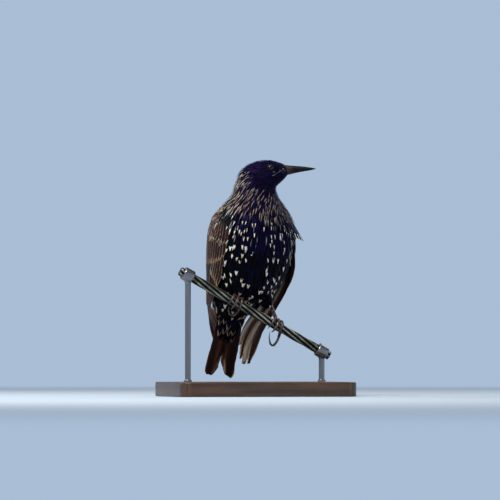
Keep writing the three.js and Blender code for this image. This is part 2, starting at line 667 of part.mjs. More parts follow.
const lids = Object.values(sides).map(lidForm);
const sockets = Object.values(sides).map((side) => grown(eyeForm(side)));
const grooves = Object.values(sides).map(gapeGroove);
const head = [...sockets, ...grooves, grown(bill)].reduce(
  (form, tool) => form.subtract(tool),
  wasm.Manifold.union([cutAbove(whole, HEAD_BASE), ...lids]),
);
add("head", largest(head), PLUMAGE);
add("neck", largest(cutAbove(cutBelow(whole, HEAD_BASE), NECK_BASE)), PLUMAGE);
add("torso", largest(wasm.Manifold.union([cutBelow(trunk, NECK_BASE), ...tuft, ...thighs])), PLUMAGE);
const nostrils = Object.values(sides).map(nostril);
const upperBill = nostrils.reduce((form, tool) => form.subtract(tool), cutAbove(bill, MOUTH));
add("bill_upper", largest(upperBill), BILL_HORN);
add("bill_lower", largest(cutBelow(bill, MOUTH)), BILL_HORN);
for (const [name, side] of Object.entries(sides)) add(`eye_${name}`, eyeForm(side), EYE_DARK);

add("tail", largest(wasm.Manifold.union(tailForm()).subtract(torsoClear)), WING_PLUMAGE);
for (const [name, wing] of Object.entries(WINGS)) {
  add(`wing_${name}`, largest(wasm.Manifold.union(wingForm(wing)).subtract(torsoClear)), WING_PLUMAGE);
}

const wireClear = alongWire(WIRE_RADIUS + GAP, WIRE.length, onWire(0), 24);
for (const [name, x] of Object.entries(FOOT_X)) {
  const leg = LEGS[name];
  const toes = Object.entries(TOES).map(([toeName, toe]) => [toeName, frontToe(x, toe), frontClaw(x, toe)]);
  toes.push(["hind", hindToe(x, HANG[name]), hindClaw(x, HANG[name])]);
  const foot = wasm.Manifold.union([palmForm(x), ...toes.map(([, toe]) => toe)]).subtract(wireClear);
  add(`leg_${name}`, largest(foot.add(tarsusForm(x, leg)).subtract(torsoClear)), LEG_SKIN);
  for (const [toeName, toe, claw] of toes) {
    add(`claw_${name}_${toeName}`, largest(claw.subtract(grown(toe, 2 * GAP))), CLAW_HORN);
  }
}

add("perch_core", alongWire(WIRE.helix - WIRE.strand - GAP, WIRE.length, onWire(0), 10), WIRE_METAL);
for (let i = 0; i < WIRE.strands; i++) add(`perch_strand_${i + 1}`, strandForm(i), WIRE_METAL);
add("stand_rod_upper", rodForm(-1), ROD_STEEL);
add("stand_rod_lower", rodForm(1), ROD_STEEL);
add("stand_base", baseForm(), BASE_WOOD);

export default bird;
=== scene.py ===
# A life-size common starling in its spotted winter plumage, perched on a cut length of stranded wire.
# Two rods hold the wire over a flat base. Each section makes one piece, or one group of like pieces.
import math

import bmesh
import bpy
import numpy as np
from mathutils import Color, Matrix, Vector
from mathutils.bvhtree import BVHTree
from mathutils.kdtree import KDTree


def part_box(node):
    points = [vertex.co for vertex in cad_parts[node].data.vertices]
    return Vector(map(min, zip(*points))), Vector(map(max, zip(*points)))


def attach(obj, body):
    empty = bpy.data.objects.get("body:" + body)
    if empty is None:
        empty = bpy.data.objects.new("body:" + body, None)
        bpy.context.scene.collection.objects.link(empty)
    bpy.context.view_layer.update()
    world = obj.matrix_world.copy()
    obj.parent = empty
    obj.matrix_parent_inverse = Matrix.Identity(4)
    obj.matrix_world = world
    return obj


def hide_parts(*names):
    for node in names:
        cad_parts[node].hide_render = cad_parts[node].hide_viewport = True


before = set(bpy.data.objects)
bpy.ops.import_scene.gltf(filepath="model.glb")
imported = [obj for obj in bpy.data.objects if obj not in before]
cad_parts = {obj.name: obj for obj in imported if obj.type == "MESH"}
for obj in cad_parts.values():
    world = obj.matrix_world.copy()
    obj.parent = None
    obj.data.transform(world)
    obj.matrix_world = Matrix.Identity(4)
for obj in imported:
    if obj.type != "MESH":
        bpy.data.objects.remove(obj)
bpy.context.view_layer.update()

# The view. A long lens looks up at the bird a little, from its right side of straight ahead.
# The bird is small in the frame, as one on a wire is, and nothing else is near it.
MM = 0.001
AZIMUTH, ELEVATION = -15, -1.8
AIM = Vector((-1.99, 8.81, 121.8))
DISTANCE = 3000
FOCAL_PIXELS, FRAME_PIXELS = 3600, 500


def aimed(item, azimuth, elevation, distance):
    """Turns a camera or lamp to the bird. Azimuth 0 is in front of the bird, and 90 on its left."""
    made = bpy.data.objects.new(item.name, item)
    bpy.context.scene.collection.objects.link(made)
    azimuth, elevation = math.radians(azimuth), math.radians(elevation)
    level = math.cos(elevation)
    back = Vector((math.sin(azimuth) * level, -math.cos(azimuth) * level, math.sin(elevation)))
    made.location = (AIM + back * distance) * MM
    made.rotation_euler = (-back).to_track_quat("-Z", "Y").to_euler()
    return made


lens = bpy.data.cameras.new("long_lens")
lens.sensor_width = 36
lens.lens = lens.sensor_width * FOCAL_PIXELS / FRAME_PIXELS
lens.clip_start, lens.clip_end = 0.05, 30
bpy.context.scene.camera = aimed(lens, AZIMUTH, ELEVATION, DISTANCE)

# Soft studio light: a large key lamp above on the camera's left, a fill, one over the crown, and two behind
# the bird for the gloss. Each row is a lamp's azimuth and elevation, distance, size, power and colour.
SOFTBOXES = {
    "key": (-50, 50, 900, 300, 9, (1, 0.97, 0.92)),
    "fill": (48, 12, 1100, 900, 1.2, (0.9, 0.95, 1)),
    "crown": (10, 80, 900, 600, 2.5, (1, 1, 1)),
    "rim_left": (128, 30, 900, 420, 1.6, (0.93, 0.96, 1)),
    "rim_right": (-132, 34, 900, 420, 3.4, (1, 0.98, 0.95)),
}
for name, (azimuth, elevation, distance, size, power, colour) in SOFTBOXES.items():
    lamp = bpy.data.lights.new("softbox_" + name, "AREA")
    lamp.shape = "DISK"
    lamp.size = size * MM
    lamp.energy = power
    lamp.color = colour
    aimed(lamp, azimuth, elevation, distance).visible_camera = False

# The room: a plain, pale surround, painted alike on all sides and darker overhead, so that the lamps shape
# the bird.
ROOM_COLOUR = (*Color((0.665, 0.745, 0.838)).from_srgb_to_scene_linear(), 1)
CEILING_COLOUR = (0.06, 0.07, 0.085, 1)
# It darkens between these two heights, where 0 is level with the bird and 1 straight above it.
DARKENS = (0.12, 0.5)
room = bpy.data.worlds.new("pale_room")
room.use_nodes = True
node = room.node_tree.nodes.new
link = room.node_tree.links.new
kinds = ("TexCoord", "SeparateXYZ", "MapRange", "Mix")
direction, height, rise, paint = (node("ShaderNode" + kind) for kind in kinds)
paint.data_type = "RGBA"
rise.interpolation_type = "SMOOTHSTEP"
rise.inputs["From Min"].default_value, rise.inputs["From Max"].default_value = DARKENS
paint.inputs[6].default_value, paint.inputs[7].default_value = ROOM_COLOUR, CEILING_COLOUR
link(direction.outputs["Generated"], height.inputs[0])
link(height.outputs[2], rise.inputs["Value"])
link(rise.outputs[0], paint.inputs[0])
link(paint.outputs[2], room.node_tree.nodes["Background"].inputs["Color"])
bpy.context.scene.world = room
bpy.context.scene.view_settings.view_transform = "Standard"


# The floor: a plain sheet of pale, matt paper, laid flat under the stand. It fades into the room's colour
# with distance, so that no far edge shows.
class Field:
    """What varies over a surface, be it a number, colour or vector: one socket among a finish's nodes."""

    def __init__(self, finish, socket):
        self.finish = finish
        self.socket = socket

    def maths(self, operation, *others):
        return self.finish.node("Math", (self, *others), operation=operation)

    def __add__(self, other):
        return self.maths("ADD", other)

    def __sub__(self, other):
        return self.maths("SUBTRACT", other)

    def __rsub__(self, other):
        return self.finish.node("Math", (other, self), operation="SUBTRACT")

    def __mul__(self, other):
        return self.maths("MULTIPLY", other)

    __radd__ = __add__
    __rmul__ = __mul__

    def rise(self, low, high):
        """0 up to low, 1 from high on, and smooth between. It falls where low is the larger."""
        values = {"Value": self, "From Min": low, "From Max": high}
        return self.finish.node("MapRange", values, interpolation_type="SMOOTHSTEP")

    def blend(self, colour, other):
        """One colour where this is 0 and the other where it is 1."""
        return self.finish.node("Mix", {0: self, 6: colour, 7: other}, output=2, data_type="RGBA")


class Finish:
    """A material made of nodes. Its patterns read the piece's own coordinates, in millimetres."""

    def __init__(self, name, **constant):
        self.material = bpy.data.materials.new(name)
        self.material.use_nodes = True
        self.tree = self.material.node_tree
        self.shader = self.tree.nodes["Principled BSDF"]
        self.shade({socket.replace("_", " "): value for socket, value in constant.items()})
        metres = self.node("TexCoord", output="Object")
        self.place = self.node("VectorMath", {0: metres, 3: 1 / MM}, operation="SCALE")

    def node(self, kind, values=(), output=0, **settings):
        node = self.tree.nodes.new("ShaderNode" + kind)
        for setting, value in settings.items():
            setattr(node, setting, value)
        self.fill(node, values)
        return Field(self, node.outputs[output])

    def fill(self, node, values):
        for key, value in values.items() if isinstance(values, dict) else enumerate(values):
            if isinstance(value, Field):
                self.tree.links.new(value.socket, node.inputs[key])
            else:
                node.inputs[key].default_value = value

    def shade(self, values):
        self.fill(self.shader, values)

    def stretched(self, x, y, z):
        """The piece's coordinates, drawn out so that a pattern has these sizes along its axes."""
        return self.node("Mapping", {"Vector": self.place, "Scale": (1 / x, 1 / y, 1 / z)})

    def channels(self, kind, whole):
        """The three numbers that make up a vector or a colour."""
        outputs = self.node(kind, (whole,)).socket.node.outputs
        return [Field(self, outputs[channel]) for channel in range(3)]

    def noise(self, size=1, detail=3, vector=None):
        return self.node("TexNoise", {"Vector": vector or self.place, "Scale": 1 / size, "Detail": detail})

    def distance_from(self, point):
        return self.node("VectorMath", (self.place, tuple(point)), operation="DISTANCE", output="Value")

    def relief(self, height, depth, strength=1):
        """Raises the surface by height times depth, in millimetres."""
        values = {"Height": height, "Distance": depth * MM, "Strength": strength}
        self.shade({"Normal": self.node("Bump", values)})


def tint(red, green, blue):
    """A colour from its display values, 0 to 255."""
    return (*Color((red / 255, green / 255, blue / 255)).from_srgb_to_scene_linear(), 1)


def placed(mesh, finish):
    """Puts a mesh into the scene, smooth, under its own name."""
    mesh.shade_smooth()
    mesh.materials.append(finish.material)
    made = bpy.data.objects.new(mesh.name, mesh)
    bpy.context.scene.collection.objects.link(made)
    return made


def shown(name, bm, finish):
    """Puts a shape drawn in millimetres into the scene, in metres."""
    bmesh.ops.scale(bm, vec=(MM, MM, MM), verts=bm.verts)
    mesh = bpy.data.meshes.new(name)
    bm.to_mesh(mesh)
    bm.free()
    return placed(mesh, finish)


FLOOR_SIZE = 9000
FADE = (300, 1500)
paper = Finish("floor_paper", Roughness=0.9)
paper.shade({"Base Color": paper.noise(220, 2).blend(tint(176, 190, 205), tint(184, 197, 211))})
distance = paper.node("VectorMath", (paper.place,), operation="LENGTH", output="Value")
glow = paper.node("Emission", {"Color": ROOM_COLOUR})
far = paper.node("MixShader", (distance.rise(*FADE), Field(paper, paper.shader.outputs["BSDF"]), glow))
paper.tree.links.new(far.socket, paper.tree.nodes["Material Output"].inputs["Surface"])
floor = bmesh.new()
bmesh.ops.create_grid(floor, x_segments=4, y_segments=4, size=FLOOR_SIZE)
shown("floor", floor, paper)


# The base of the stand: a slab of dark hardwood with round corners and eased edges, oiled.
# It is cut from one board, so the grain runs along it.
def finished(made, nodes):
    """Declares a piece of the object, which stands for the given nodes."""
    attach(made, "root")
    if nodes:
        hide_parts(*nodes)
    return made


def piece(name, bm, finish, slot, *nodes):
    return finished(shown(name, bm, finish), nodes)


def drop(edge):
    """How far an edge runs up or down."""
    return abs(edge.verts[0].co.z - edge.verts[1].co.z)


def eased(bm, edges, width, segments):
    manner = {"profile": 0.5, "affect": "EDGES", "material": -1, "clamp_overlap": True}
    bmesh.ops.bevel(bm, geom=edges, offset=width, segments=segments, **manner)


BASE_CORNER, BASE_EASE = 9, 1.2
low, high = (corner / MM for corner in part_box("stand_base"))
slab = bmesh.new()
block = Matrix.Translation((low + high) / 2) @ Matrix.Diagonal((*(high - low), 1))
bmesh.ops.create_cube(slab, size=1, matrix=block)
eased(slab, [edge for edge in slab.edges if drop(edge) > 0.01], BASE_CORNER, 10)
eased(slab, [edge for edge in slab.edges if drop(edge) < 0.01], BASE_EASE, 4)

wood = Finish("oiled_walnut", Coat_Weight=0.25, Coat_Roughness=0.25, IOR=1.45)
grain_place = wood.stretched(60, 9, 9)
warp = wood.noise(1, 3, grain_place)
ring_sizes = {"Scale": 0.9, "Distortion": 5, "Detail": 4, "Detail Scale": 1.2}
ring_values = {"Vector": wood.stretched(120, 4, 6), **ring_sizes}
rings = wood.node("TexWave", ring_values, output="Fac", bands_direction="Y")
pores = wood.noise(1, 4, wood.stretched(14, 0.5, 0.5)).rise(0.56, 0.7)
board = (rings * 0.4 + warp * 0.7).rise(0.2, 0.95).blend(tint(46, 30, 20), tint(88, 60, 38))
wood.shade({"Base Color": (pores * 0.6).blend(board, tint(30, 19, 12)), "Roughness": 0.42 + pores * 0.3})
wood.relief(pores * -1 + rings * 0.25, 0.06)
piece("stand_base_wood", slab, wood, "base_wood", "stand_base")

# The rods of the stand: round steel, each ending in a collar that a small socket screw clamps on the wire.
# They are turned and brushed, and the wire passes through the collars.
WIRE_HEIGHT, WIRE_SLOPE, WIRE_LENGTH = 68.7, math.radians(28.6), 146
STRANDS, STRAND, HELIX, LAY = 6, 1.15, 2.6, 112
WIRE_RADIUS = HELIX + STRAND
ALONG_WIRE = Vector((math.cos(WIRE_SLOPE), 0, -math.sin(WIRE_SLOPE)))
OVER_WIRE = Vector((math.sin(WIRE_SLOPE), 0, math.cos(WIRE_SLOPE)))
FRONT = Vector((0, -1, 0))
WIRE_FRAME = Matrix.Rotation(math.pi / 2 + WIRE_SLOPE, 4, "Y")
ROD_RADIUS = 2.4
COLLAR = {"radius": 5.6, "length": 9, "bore": WIRE_RADIUS + 0.3, "from_end": 3, "ease": 0.6, "gap": 0.6}


def on_wire(x):
    return Vector((x, 0, WIRE_HEIGHT - x * math.tan(WIRE_SLOPE)))


def faced_out(bm):
    """Turns the faces of a closed shape outwards."""
    bmesh.ops.recalc_face_normals(bm, faces=bm.faces)
    if bm.calc_volume(signed=True) < 0:
        bmesh.ops.reverse_faces(bm, faces=bm.faces)
    return bm


def turned(profile, frame_of_axis, steps=48):
    """A turned form. Each point of the profile is a radius and a height along the frame's z axis."""
    bm = bmesh.new()
    points = [bm.verts.new((radius, 0, height)) for radius, height in profile]
    for one, two in zip(points, points[1:]):
        bm.edges.new((one, two))
    outline = bm.verts[:] + bm.edges[:]
    axis = {"axis": (0, 0, 1), "cent": (0, 0, 0)}
    bmesh.ops.spin(bm, geom=outline, angle=2 * math.pi, steps=steps, use_merge=True, **axis)
    bmesh.ops.remove_doubles(bm, verts=bm.verts, dist=1e-4)
    bmesh.ops.transform(bm, matrix=frame_of_axis, verts=bm.verts)
    return faced_out(bm)


def joined(*forms):
    """Several shapes as one."""
    whole = bmesh.new()
    for form in forms:
        part = bpy.data.meshes.new("part")
        form.to_mesh(part)
        form.free()
        whole.from_mesh(part)
        bpy.data.meshes.remove(part)
    return whole


steel = Finish("brushed_steel", Metallic=1)
brushing = steel.noise(1, 2, steel.stretched(0.25, 0.25, 9))
steel_grey = brushing.blend(tint(112, 114, 117), tint(142, 144, 146))
steel.shade({"Base Color": steel_grey, "Roughness": 0.3 + brushing * 0.16})
steel.relief(brushing, 0.02)
outer, bore, ease = COLLAR["radius"], COLLAR["bore"], COLLAR["ease"]
half = COLLAR["length"] / 2
SCREW = [(0, -1), (1.4, -1), (1.5, -0.1), (1.35, 0.25), (0.75, 0.25), (0.75, -0.5), (0, -0.5)]
for name, end in (("upper", -1), ("lower", 1)):
    along = end * (WIRE_LENGTH / 2 - half - COLLAR["from_end"])
    middle = Vector((0, 0, WIRE_HEIGHT)) + ALONG_WIRE * along
    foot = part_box("stand_rod_" + name)[0].z / MM
    top = middle.z - bore - COLLAR["gap"]
    # Each row: how much wider than the rod it is there, and the height.
    flange = [(0.9, foot), (0.9, foot + 1.1), (0.5, foot + 1.5), (0, foot + 1.6)]
    neck = [(0, top - 2.2), (0.15, top - 1.2), (0.7, top)]
    outline = [(ROD_RADIUS + wider, height) for wider, height in flange + neck]
    rod = turned([(0, foot), *outline, (0, top)], Matrix.Translation((middle.x, 0, 0)))
    rim = [(bore, half - ease), (bore + ease / 2, half), (outer - ease, half), (outer, half - ease)]
    section = [(radius, -height) for radius, height in rim] + rim[::-1]
    collar = turned(section + section[:1], Matrix.Translation(middle) @ WIRE_FRAME)
    screw_seat = Matrix.Translation(middle + FRONT * (outer - 0.5)) @ Matrix.Rotation(math.pi / 2, 4, "X")
    forms = joined(rod, collar, turned(SCREW, screw_seat, 24))
    made = piece("stand_rod_steel_" + name, forms, steel, "rod_steel", "stand_rod_" + name)
    edge = made.modifiers.new("edge", "BEVEL")
    edge.width, edge.segments, edge.limit_method = 0.12 * MM, 2, "ANGLE"

# The wire: six metal strands laid round a core, weathered to a dull grey with patches of grime, and with
# painted shade darkening the grooves between the strands.
# Each strand is drawn along its helix, and both its ends are cut square to the wire.
wire_metal = Finish("weathered_strand", Metallic=0.7)
from_end = wire_metal.node("VectorMath", (wire_metal.place, (0, 0, WIRE_HEIGHT)), operation="SUBTRACT")
aside = wire_metal.node("VectorMath", (from_end, tuple(ALONG_WIRE)), operation="CROSS_PRODUCT")
from_axis = wire_metal.node("VectorMath", (aside,), operation="LENGTH", output="Value")
grime = wire_metal.noise(9, 4).rise(0.4, 0.62)
scratches = wire_metal.noise(1, 3, wire_metal.stretched(4, 0.3, 0.3))
# Painted shade: the grooves between the strands turn near black, leaving only a thin band along each strand's
# crown in the metal's colour.
painted_groove_shade = from_axis.rise(WIRE_RADIUS - 0.02, WIRE_RADIUS - 0.34)
oxide = scratches.blend(tint(104, 104, 86), tint(206, 206, 190))
film = (grime * 0.7).blend(oxide, tint(52, 54, 26))
wire_metal.shade({
    "Base Color": (painted_groove_shade * 0.96).blend(film, tint(8, 8, 6)),
    "Roughness": 0.26 + grime * 0.15 + scratches * 0.1,
})
wire_metal.relief(scratches + grime * 0.4, 0.04)


def strand(radius, helix, start, sides, steps):
    """One strand: a round section, carried along the wire and round it step by step."""
    bm = bmesh.new()
    first = Vector((0, 0, WIRE_HEIGHT)) - ALONG_WIRE * WIRE_LENGTH / 2
    middle = first + Matrix.Rotation(start, 3, ALONG_WIRE) @ OVER_WIRE * helix
    section = Matrix.Translation(middle) @ WIRE_FRAME
    bmesh.ops.create_circle(bm, segments=sides, radius=radius, cap_ends=True, matrix=section)
    turn = Matrix.Rotation(2 * math.pi * WIRE_LENGTH / LAY / steps, 4, ALONG_WIRE)
    to_axis = Matrix.Translation(first)
    step = Matrix.Translation(ALONG_WIRE * WIRE_LENGTH / steps) @ to_axis @ turn @ to_axis.inverted()
    ring = bm.edges[:]
    for _ in range(steps):
        made = bmesh.ops.extrude_edge_only(bm, edges=ring)["geom"]
        points = [g for g in made if isinstance(g, bmesh.types.BMVert)]
        bmesh.ops.transform(bm, matrix=step, verts=points)
        moved = set(points)
        ring = [g for g in made if isinstance(g, bmesh.types.BMEdge) and moved.issuperset(g.verts)]
    bmesh.ops.contextual_create(bm, geom=ring)
    return faced_out(bm)


piece("wire_core", strand(HELIX - STRAND, 0, 0, 20, 40), wire_metal, "wire_metal", "perch_core")
for i in range(STRANDS):
    start = 2 * math.pi * (i / STRANDS - WIRE_LENGTH / 2 / LAY)
    laid = strand(STRAND, HELIX, start, 18, 110)
    piece(f"wire_strand_{i + 1}", laid, wire_metal, "wire_metal", f"perch_strand_{i + 1}")


# The legs and feet. Each foot grips the wire with three toes in front and one behind. Bare skin covers them,
# with overlapping plates on the upper side of each toe and the front of the leg, and small pads below.
def smooth_between(value, low, high):
    """0 up to low, 1 from high on, and smooth between."""
    u = np.clip((value - low) / (high - low), 0, 1)
    return u * u * (3 - 2 * u)


def unit(vectors):
    return vectors / np.maximum(np.linalg.norm(vectors, axis=-1, keepdims=True), 1e-9)


def path_through(points, count):
    """Evenly spaced places on a smooth curve through points, and the curve's direction at each."""
    points = np.array([tuple(p) for p in points], float)
    ends = np.vstack([2 * points[0] - points[1], points, 2 * points[-1] - points[-2]])
    u = np.linspace(0, 1, 25)[:-1, None]
    fine = []
    for a, b, c, d in zip(ends, ends[1:], ends[2:], ends[3:]):
        bow = a - 2.5 * b + 2 * c - d / 2 + u * (1.5 * (b - c) + (d - a) / 2)
        fine.append(b + u * ((c - a) / 2 + u * bow))
    fine = np.vstack([*fine, points[-1:]])
    reached = np.concatenate([[0], np.cumsum(np.linalg.norm(np.diff(fine, axis=0), axis=1))])
    at = np.linspace(0, reached[-1], count + 1)
    places = np.stack([np.interp(at, reached, fine[:, k]) for k in range(3)], axis=1)
    return places, unit(np.gradient(places, axis=0))


def ball(radius, around, rings, matrix):
    bm = bmesh.new()
    bmesh.ops.create_uvsphere(bm, u_segments=around, v_segments=rings, radius=radius, matrix=matrix)
    return bm


def lofted(rings, around, place):
    """A closed body of rings, drawn out from a sphere. place(t, angle) gives each vertex for t of 0 to 1."""
    bm = ball(1, around, rings, Matrix())
    sphere = np.array([v.co for v in bm.verts])
    t = np.round(np.arccos(np.clip(-sphere[:, 2], -1, 1)) / math.pi * rings) / rings
    for vertex, spot in zip(bm.verts, place(t, np.arctan2(sphere[:, 1], sphere[:, 0]))):
        vertex.co = spot
    return faced_out(bm)


def limb(points, radius, outward, rings, around):
    """A round limb along points. radius(t, up) gives its size, where up is 1 on the outward side."""
    middles, ahead = path_through(points, rings)
    up = np.broadcast_to(np.array(outward, float), middles.shape)
    up = unit(up - ahead * np.sum(up * ahead, axis=1, keepdims=True))
    side = np.cross(ahead, up)

    def place(t, angle):
        ring = np.round(t * rings).astype(int)
        size = (radius(t, np.cos(angle)) * np.sqrt(1 - np.abs(2 * t - 1) ** 10))[:, None]
        around_it = up[ring] * np.cos(angle)[:, None] + side[ring] * np.sin(angle)[:, None]
        return middles[ring] + size * around_it

    return lofted(rings, around, place)


TOES = {
    "inner": {"turn": (-38, 118), "side": -3.3, "drift": -1.6, "radius": 1.15, "claw": 46},
    "middle": {"turn": (-40, 158), "side": 0, "drift": 0, "radius": 1.25, "claw": 50},
    "outer": {"turn": (-38, 112), "side": 3.3, "drift": 1.4, "radius": 1.1, "claw": 44},
}
# The hind toe and its claw lie along these places, from where the foot stands on the wire's middle line.
HIND_TOE = (
    (0.8, 3.4, 4.6), (4.4, 5.8, 1.2), (5.4, 5.6, -5), (2.6, 3.6, -12.4), (-1, 1.8, -16.6), (-2.4, 0.8, -17),
)
HIND_CLAW = ((-1.4, 1.4, -16.9), (-4.4, 0, -15.6), (-6, -1.9, -9.6), (-5.4, -3, -4.4))
# A toe's claw starts this many degrees back from the toe's end and this far out, then rises and turns out.
CLAW = {"back": 9, "proud": 0.35, "rise": 1.3, "turn_out": 0.3, "radius": 0.78, "hind_radius": 1.05}
FEET = {
    "right": {"x": -17.3, "hang": 0.66, "ankle": (-14.5, 15, 99)},
    "left": {"x": 17.7, "hang": 1, "ankle": (12, 16, 91)},
}
# How far the toes stay off the wire, how much their pads swell, and the share of their splay at the root.
CLEARANCE, SWELLING, SPLAYED_AT_ROOT = 0.3, 1.09, 0.45
PALM = {"back": 2.7, "up": 4.7, "radii": (3.6, 2.4, 1.7)}
SCUTE = 1.25


def plated(radius, length, taper, knuckles):
    """The size of a scaled limb: overlapping plates on the outward side, and pads below at the knuckles."""
    plates = length / SCUTE

    def size(t, up):
        within_plate = (t * plates) % 1
        raised = 0.1 * (within_plate - 0.45) * smooth_between(up, -0.1, 0.5)
        pad = 0.1 * np.cos(2 * math.pi * knuckles * t) * (1 - 0.5 * up)
        return radius * (1 - taper * t + raised + pad)

    return size


def tapering(radius):
    """The size of a claw, which comes to a point and is a little thicker above."""
    return lambda t, up: radius * (1 - 0.88 * t) * (1 + 0.12 * up)


def round_wire(x, angle, sideways, distance):
    turn = math.radians(angle)
    outward = OVER_WIRE * math.cos(turn) + FRONT * math.sin(turn)
    return on_wire(x) + ALONG_WIRE * sideways + outward * distance, outward


leg_skin = Finish("scaled_leg_skin", IOR=1.5, Coat_Weight=0.8, Coat_Roughness=0.15)
cells = {"Vector": leg_skin.place, "Scale": 1.6}
cracks = leg_skin.node("TexVoronoi", cells, output="Distance", feature="DISTANCE_TO_EDGE").rise(0.12, 0.02)
mottle = leg_skin.noise(1.6, 3)
skin_colour = mottle.rise(0.35, 0.65).blend(tint(40, 21, 20), tint(88, 56, 50))
cracked_colour = (cracks * 0.6).blend(skin_colour, tint(48, 30, 28))
leg_skin.shade({"Base Color": cracked_colour, "Roughness": 0.45 + mottle * 0.2})
leg_skin.relief(mottle * 0.5 - cracks, 0.08)

claw_horn = Finish("claw_horn", Coat_Weight=0.4, Coat_Roughness=0.15, Roughness=0.35)
claw_streaks = claw_horn.noise(0.5, 2)
claw_horn.shade({"Base Color": claw_streaks.blend(tint(22, 18, 17), tint(52, 42, 38))})
claw_horn.relief(claw_streaks, 0.03)

for side, foot in FEET.items():
    x = foot["x"]
    parts = []
    claws = {}
    for toe_name, toe in TOES.items():
        distance = WIRE_RADIUS + toe["radius"] * SWELLING + CLEARANCE
        start, stop = toe["turn"]
        points, outwards = [], []
        for share in np.linspace(0, 1, 9):
            spread = toe["side"] * (1 - SPLAYED_AT_ROOT) + toe["drift"]
            sideways = toe["side"] * SPLAYED_AT_ROOT + spread * math.sqrt(share)
            point, outward = round_wire(x, start + (stop - start) * share, sideways, distance)
            points.append(point)
            outwards.append(tuple(outward))
        facing, _ = path_through(outwards, 44)
        length = distance * math.radians(stop - start)
        parts.append(limb(points, plated(toe["radius"], length, 0.18, 3), facing, 44, 14))
        claw_points = []
        for share in np.linspace(0, 1, 6):
            away = distance + CLAW["proud"] + CLAW["rise"] * share * share
            angle = stop - CLAW["back"] + (toe["claw"] + CLAW["back"]) * share
            sideways = toe["side"] + toe["drift"] * (1 + CLAW["turn_out"] * share)
            claw_points.append(round_wire(x, angle, sideways, away)[0])
        claws[toe_name] = (claw_points, CLAW["radius"])
    hind = [[Vector((dx, dy, dz * foot["hang"] if dz < 0 else dz)) for dx, dy, dz in row]
            for row in (HIND_TOE, HIND_CLAW)]
    hind_toe, hind_claw = ([on_wire(x) + point for point in row] for row in hind)
    toe_middle = sum(hind_toe, Vector()) / len(hind_toe) + Vector((-3, -4, 0))
    facing, _ = path_through([point - toe_middle for point in hind_toe], 56)
    parts.append(limb(hind_toe, plated(1.3, 26, 0.18, 2), facing, 56, 14))
    claws["hind"] = (hind_claw, CLAW["hind_radius"])
    for toe_name, (points, radius) in claws.items():
        claw = limb(points, tapering(radius), tuple(FRONT), 24, 12)
        piece(f"claw_{side}_{toe_name}_horn", claw, claw_horn, "claw_horn", f"claw_{side}_{toe_name}")
    sole = on_wire(x) + OVER_WIRE * PALM["up"] - FRONT * PALM["back"]
    flattened = Matrix.Rotation(WIRE_SLOPE, 4, "Y") @ Matrix.Diagonal((*PALM["radii"], 1))
    parts.append(ball(1, 20, 14, Matrix.Translation(sole) @ flattened))
    ankle = Vector(foot["ankle"])
    heel = sole - OVER_WIRE * 0.6
    shank = [heel, heel.lerp(ankle, 0.5) + Vector((0, 0.8, -0.4)), ankle]
    slim = plated(1.55, (ankle - heel).length, -0.05, 0.5)
    parts.append(limb(shank, slim, tuple(FRONT), 48, 14))
    piece(f"leg_{side}_skin", joined(*parts), leg_skin, "leg_skin", f"leg_{side}")

# The bill: two slim, straight, pointed halves of dark horn that meet along the mouth, paler at the root.
# A nostril opens on each side of the upper half, under a low rim.
def frame_at(x, y, z, yaw, lean, roll=0):
    """A frame in which x is to the left, y to the back, and z up along the body, head or tail."""
    made = Matrix.Translation((x, y, z))
    for angle, axis in ((yaw, "Z"), (lean, "X"), (roll, "Y")):
        made = made @ Matrix.Rotation(math.radians(angle), 4, axis)
    return made


def out_of(reference, points):
    """Points given in a frame, in the model's own frame."""
    matrix = np.array(reference)
    return points @ matrix[:3, :3].T + matrix[:3, 3]


def into(reference, points):
    return out_of(reference.inverted(), points)


def between(rows, t):
    """The values of a table at t, on a smooth curve within its rows. Each row is t and its values."""
    rows = np.array(rows, float)
    at, values = rows[:, 0], rows[:, 1:]
    slopes = np.diff(values, axis=0) / np.diff(at)[:, None]
    product = slopes[:-1] * slopes[1:]
    same_way = product > 0
    inner = np.where(same_way, 2 * product / np.where(same_way, slopes[:-1] + slopes[1:], 1), 0)
    tangents = np.vstack([slopes[:1], inner, slopes[-1:]])
    t = np.clip(t, at[0], at[-1])
    row = np.clip(np.searchsorted(at, t, side="right") - 1, 0, len(at) - 2)
    span = at[row + 1] - at[row]
    u = ((t - at[row]) / span)[..., None]
    stepped = values[row] * (1 + 2 * u) * (1 - u) ** 2 + values[row + 1] * u**2 * (3 - 2 * u)
    sloped = tangents[row] * u * (1 - u) ** 2 + tangents[row + 1] * u**2 * (u - 1)
    return stepped + span[..., None] * sloped


HEAD = frame_at(4.5, -6.4, 183, 75, 0, 12)
# Each row: how far behind the head's centre, the heights of the ridge and the underside, and the half width.
BILL = [
    (-13.5, 4.8, 4.8, 0),
    (-15, 7, 2.2, 3),
    (-18.5, 9.2, 0.4, 4.2),
    (-22.2, 8.9, 1.1, 3.7),
    (-27, 8.5, 2.3, 2.85),
    (-32.8, 8.1, 3.5, 2.15),
    (-38.5, 7.4, 4.5, 1.5),
    (-42.8, 6.7, 5.4, 0.75),
    (-44.6, 6, 6, 0),
]
MOUTH = {"back": -18, "height": 3.5, "slope": math.radians(5), "gap": 0.15}
NOSTRIL = {"back": -22.8, "height": 6.5, "length": 1.5, "rise": 0.62, "depth": 0.8, "above": 4.6}
NOSTRIL_RIM = {"height": 0.18, "at": 1.3, "width": 0.3}
RIDGE_PINCH = 0.28


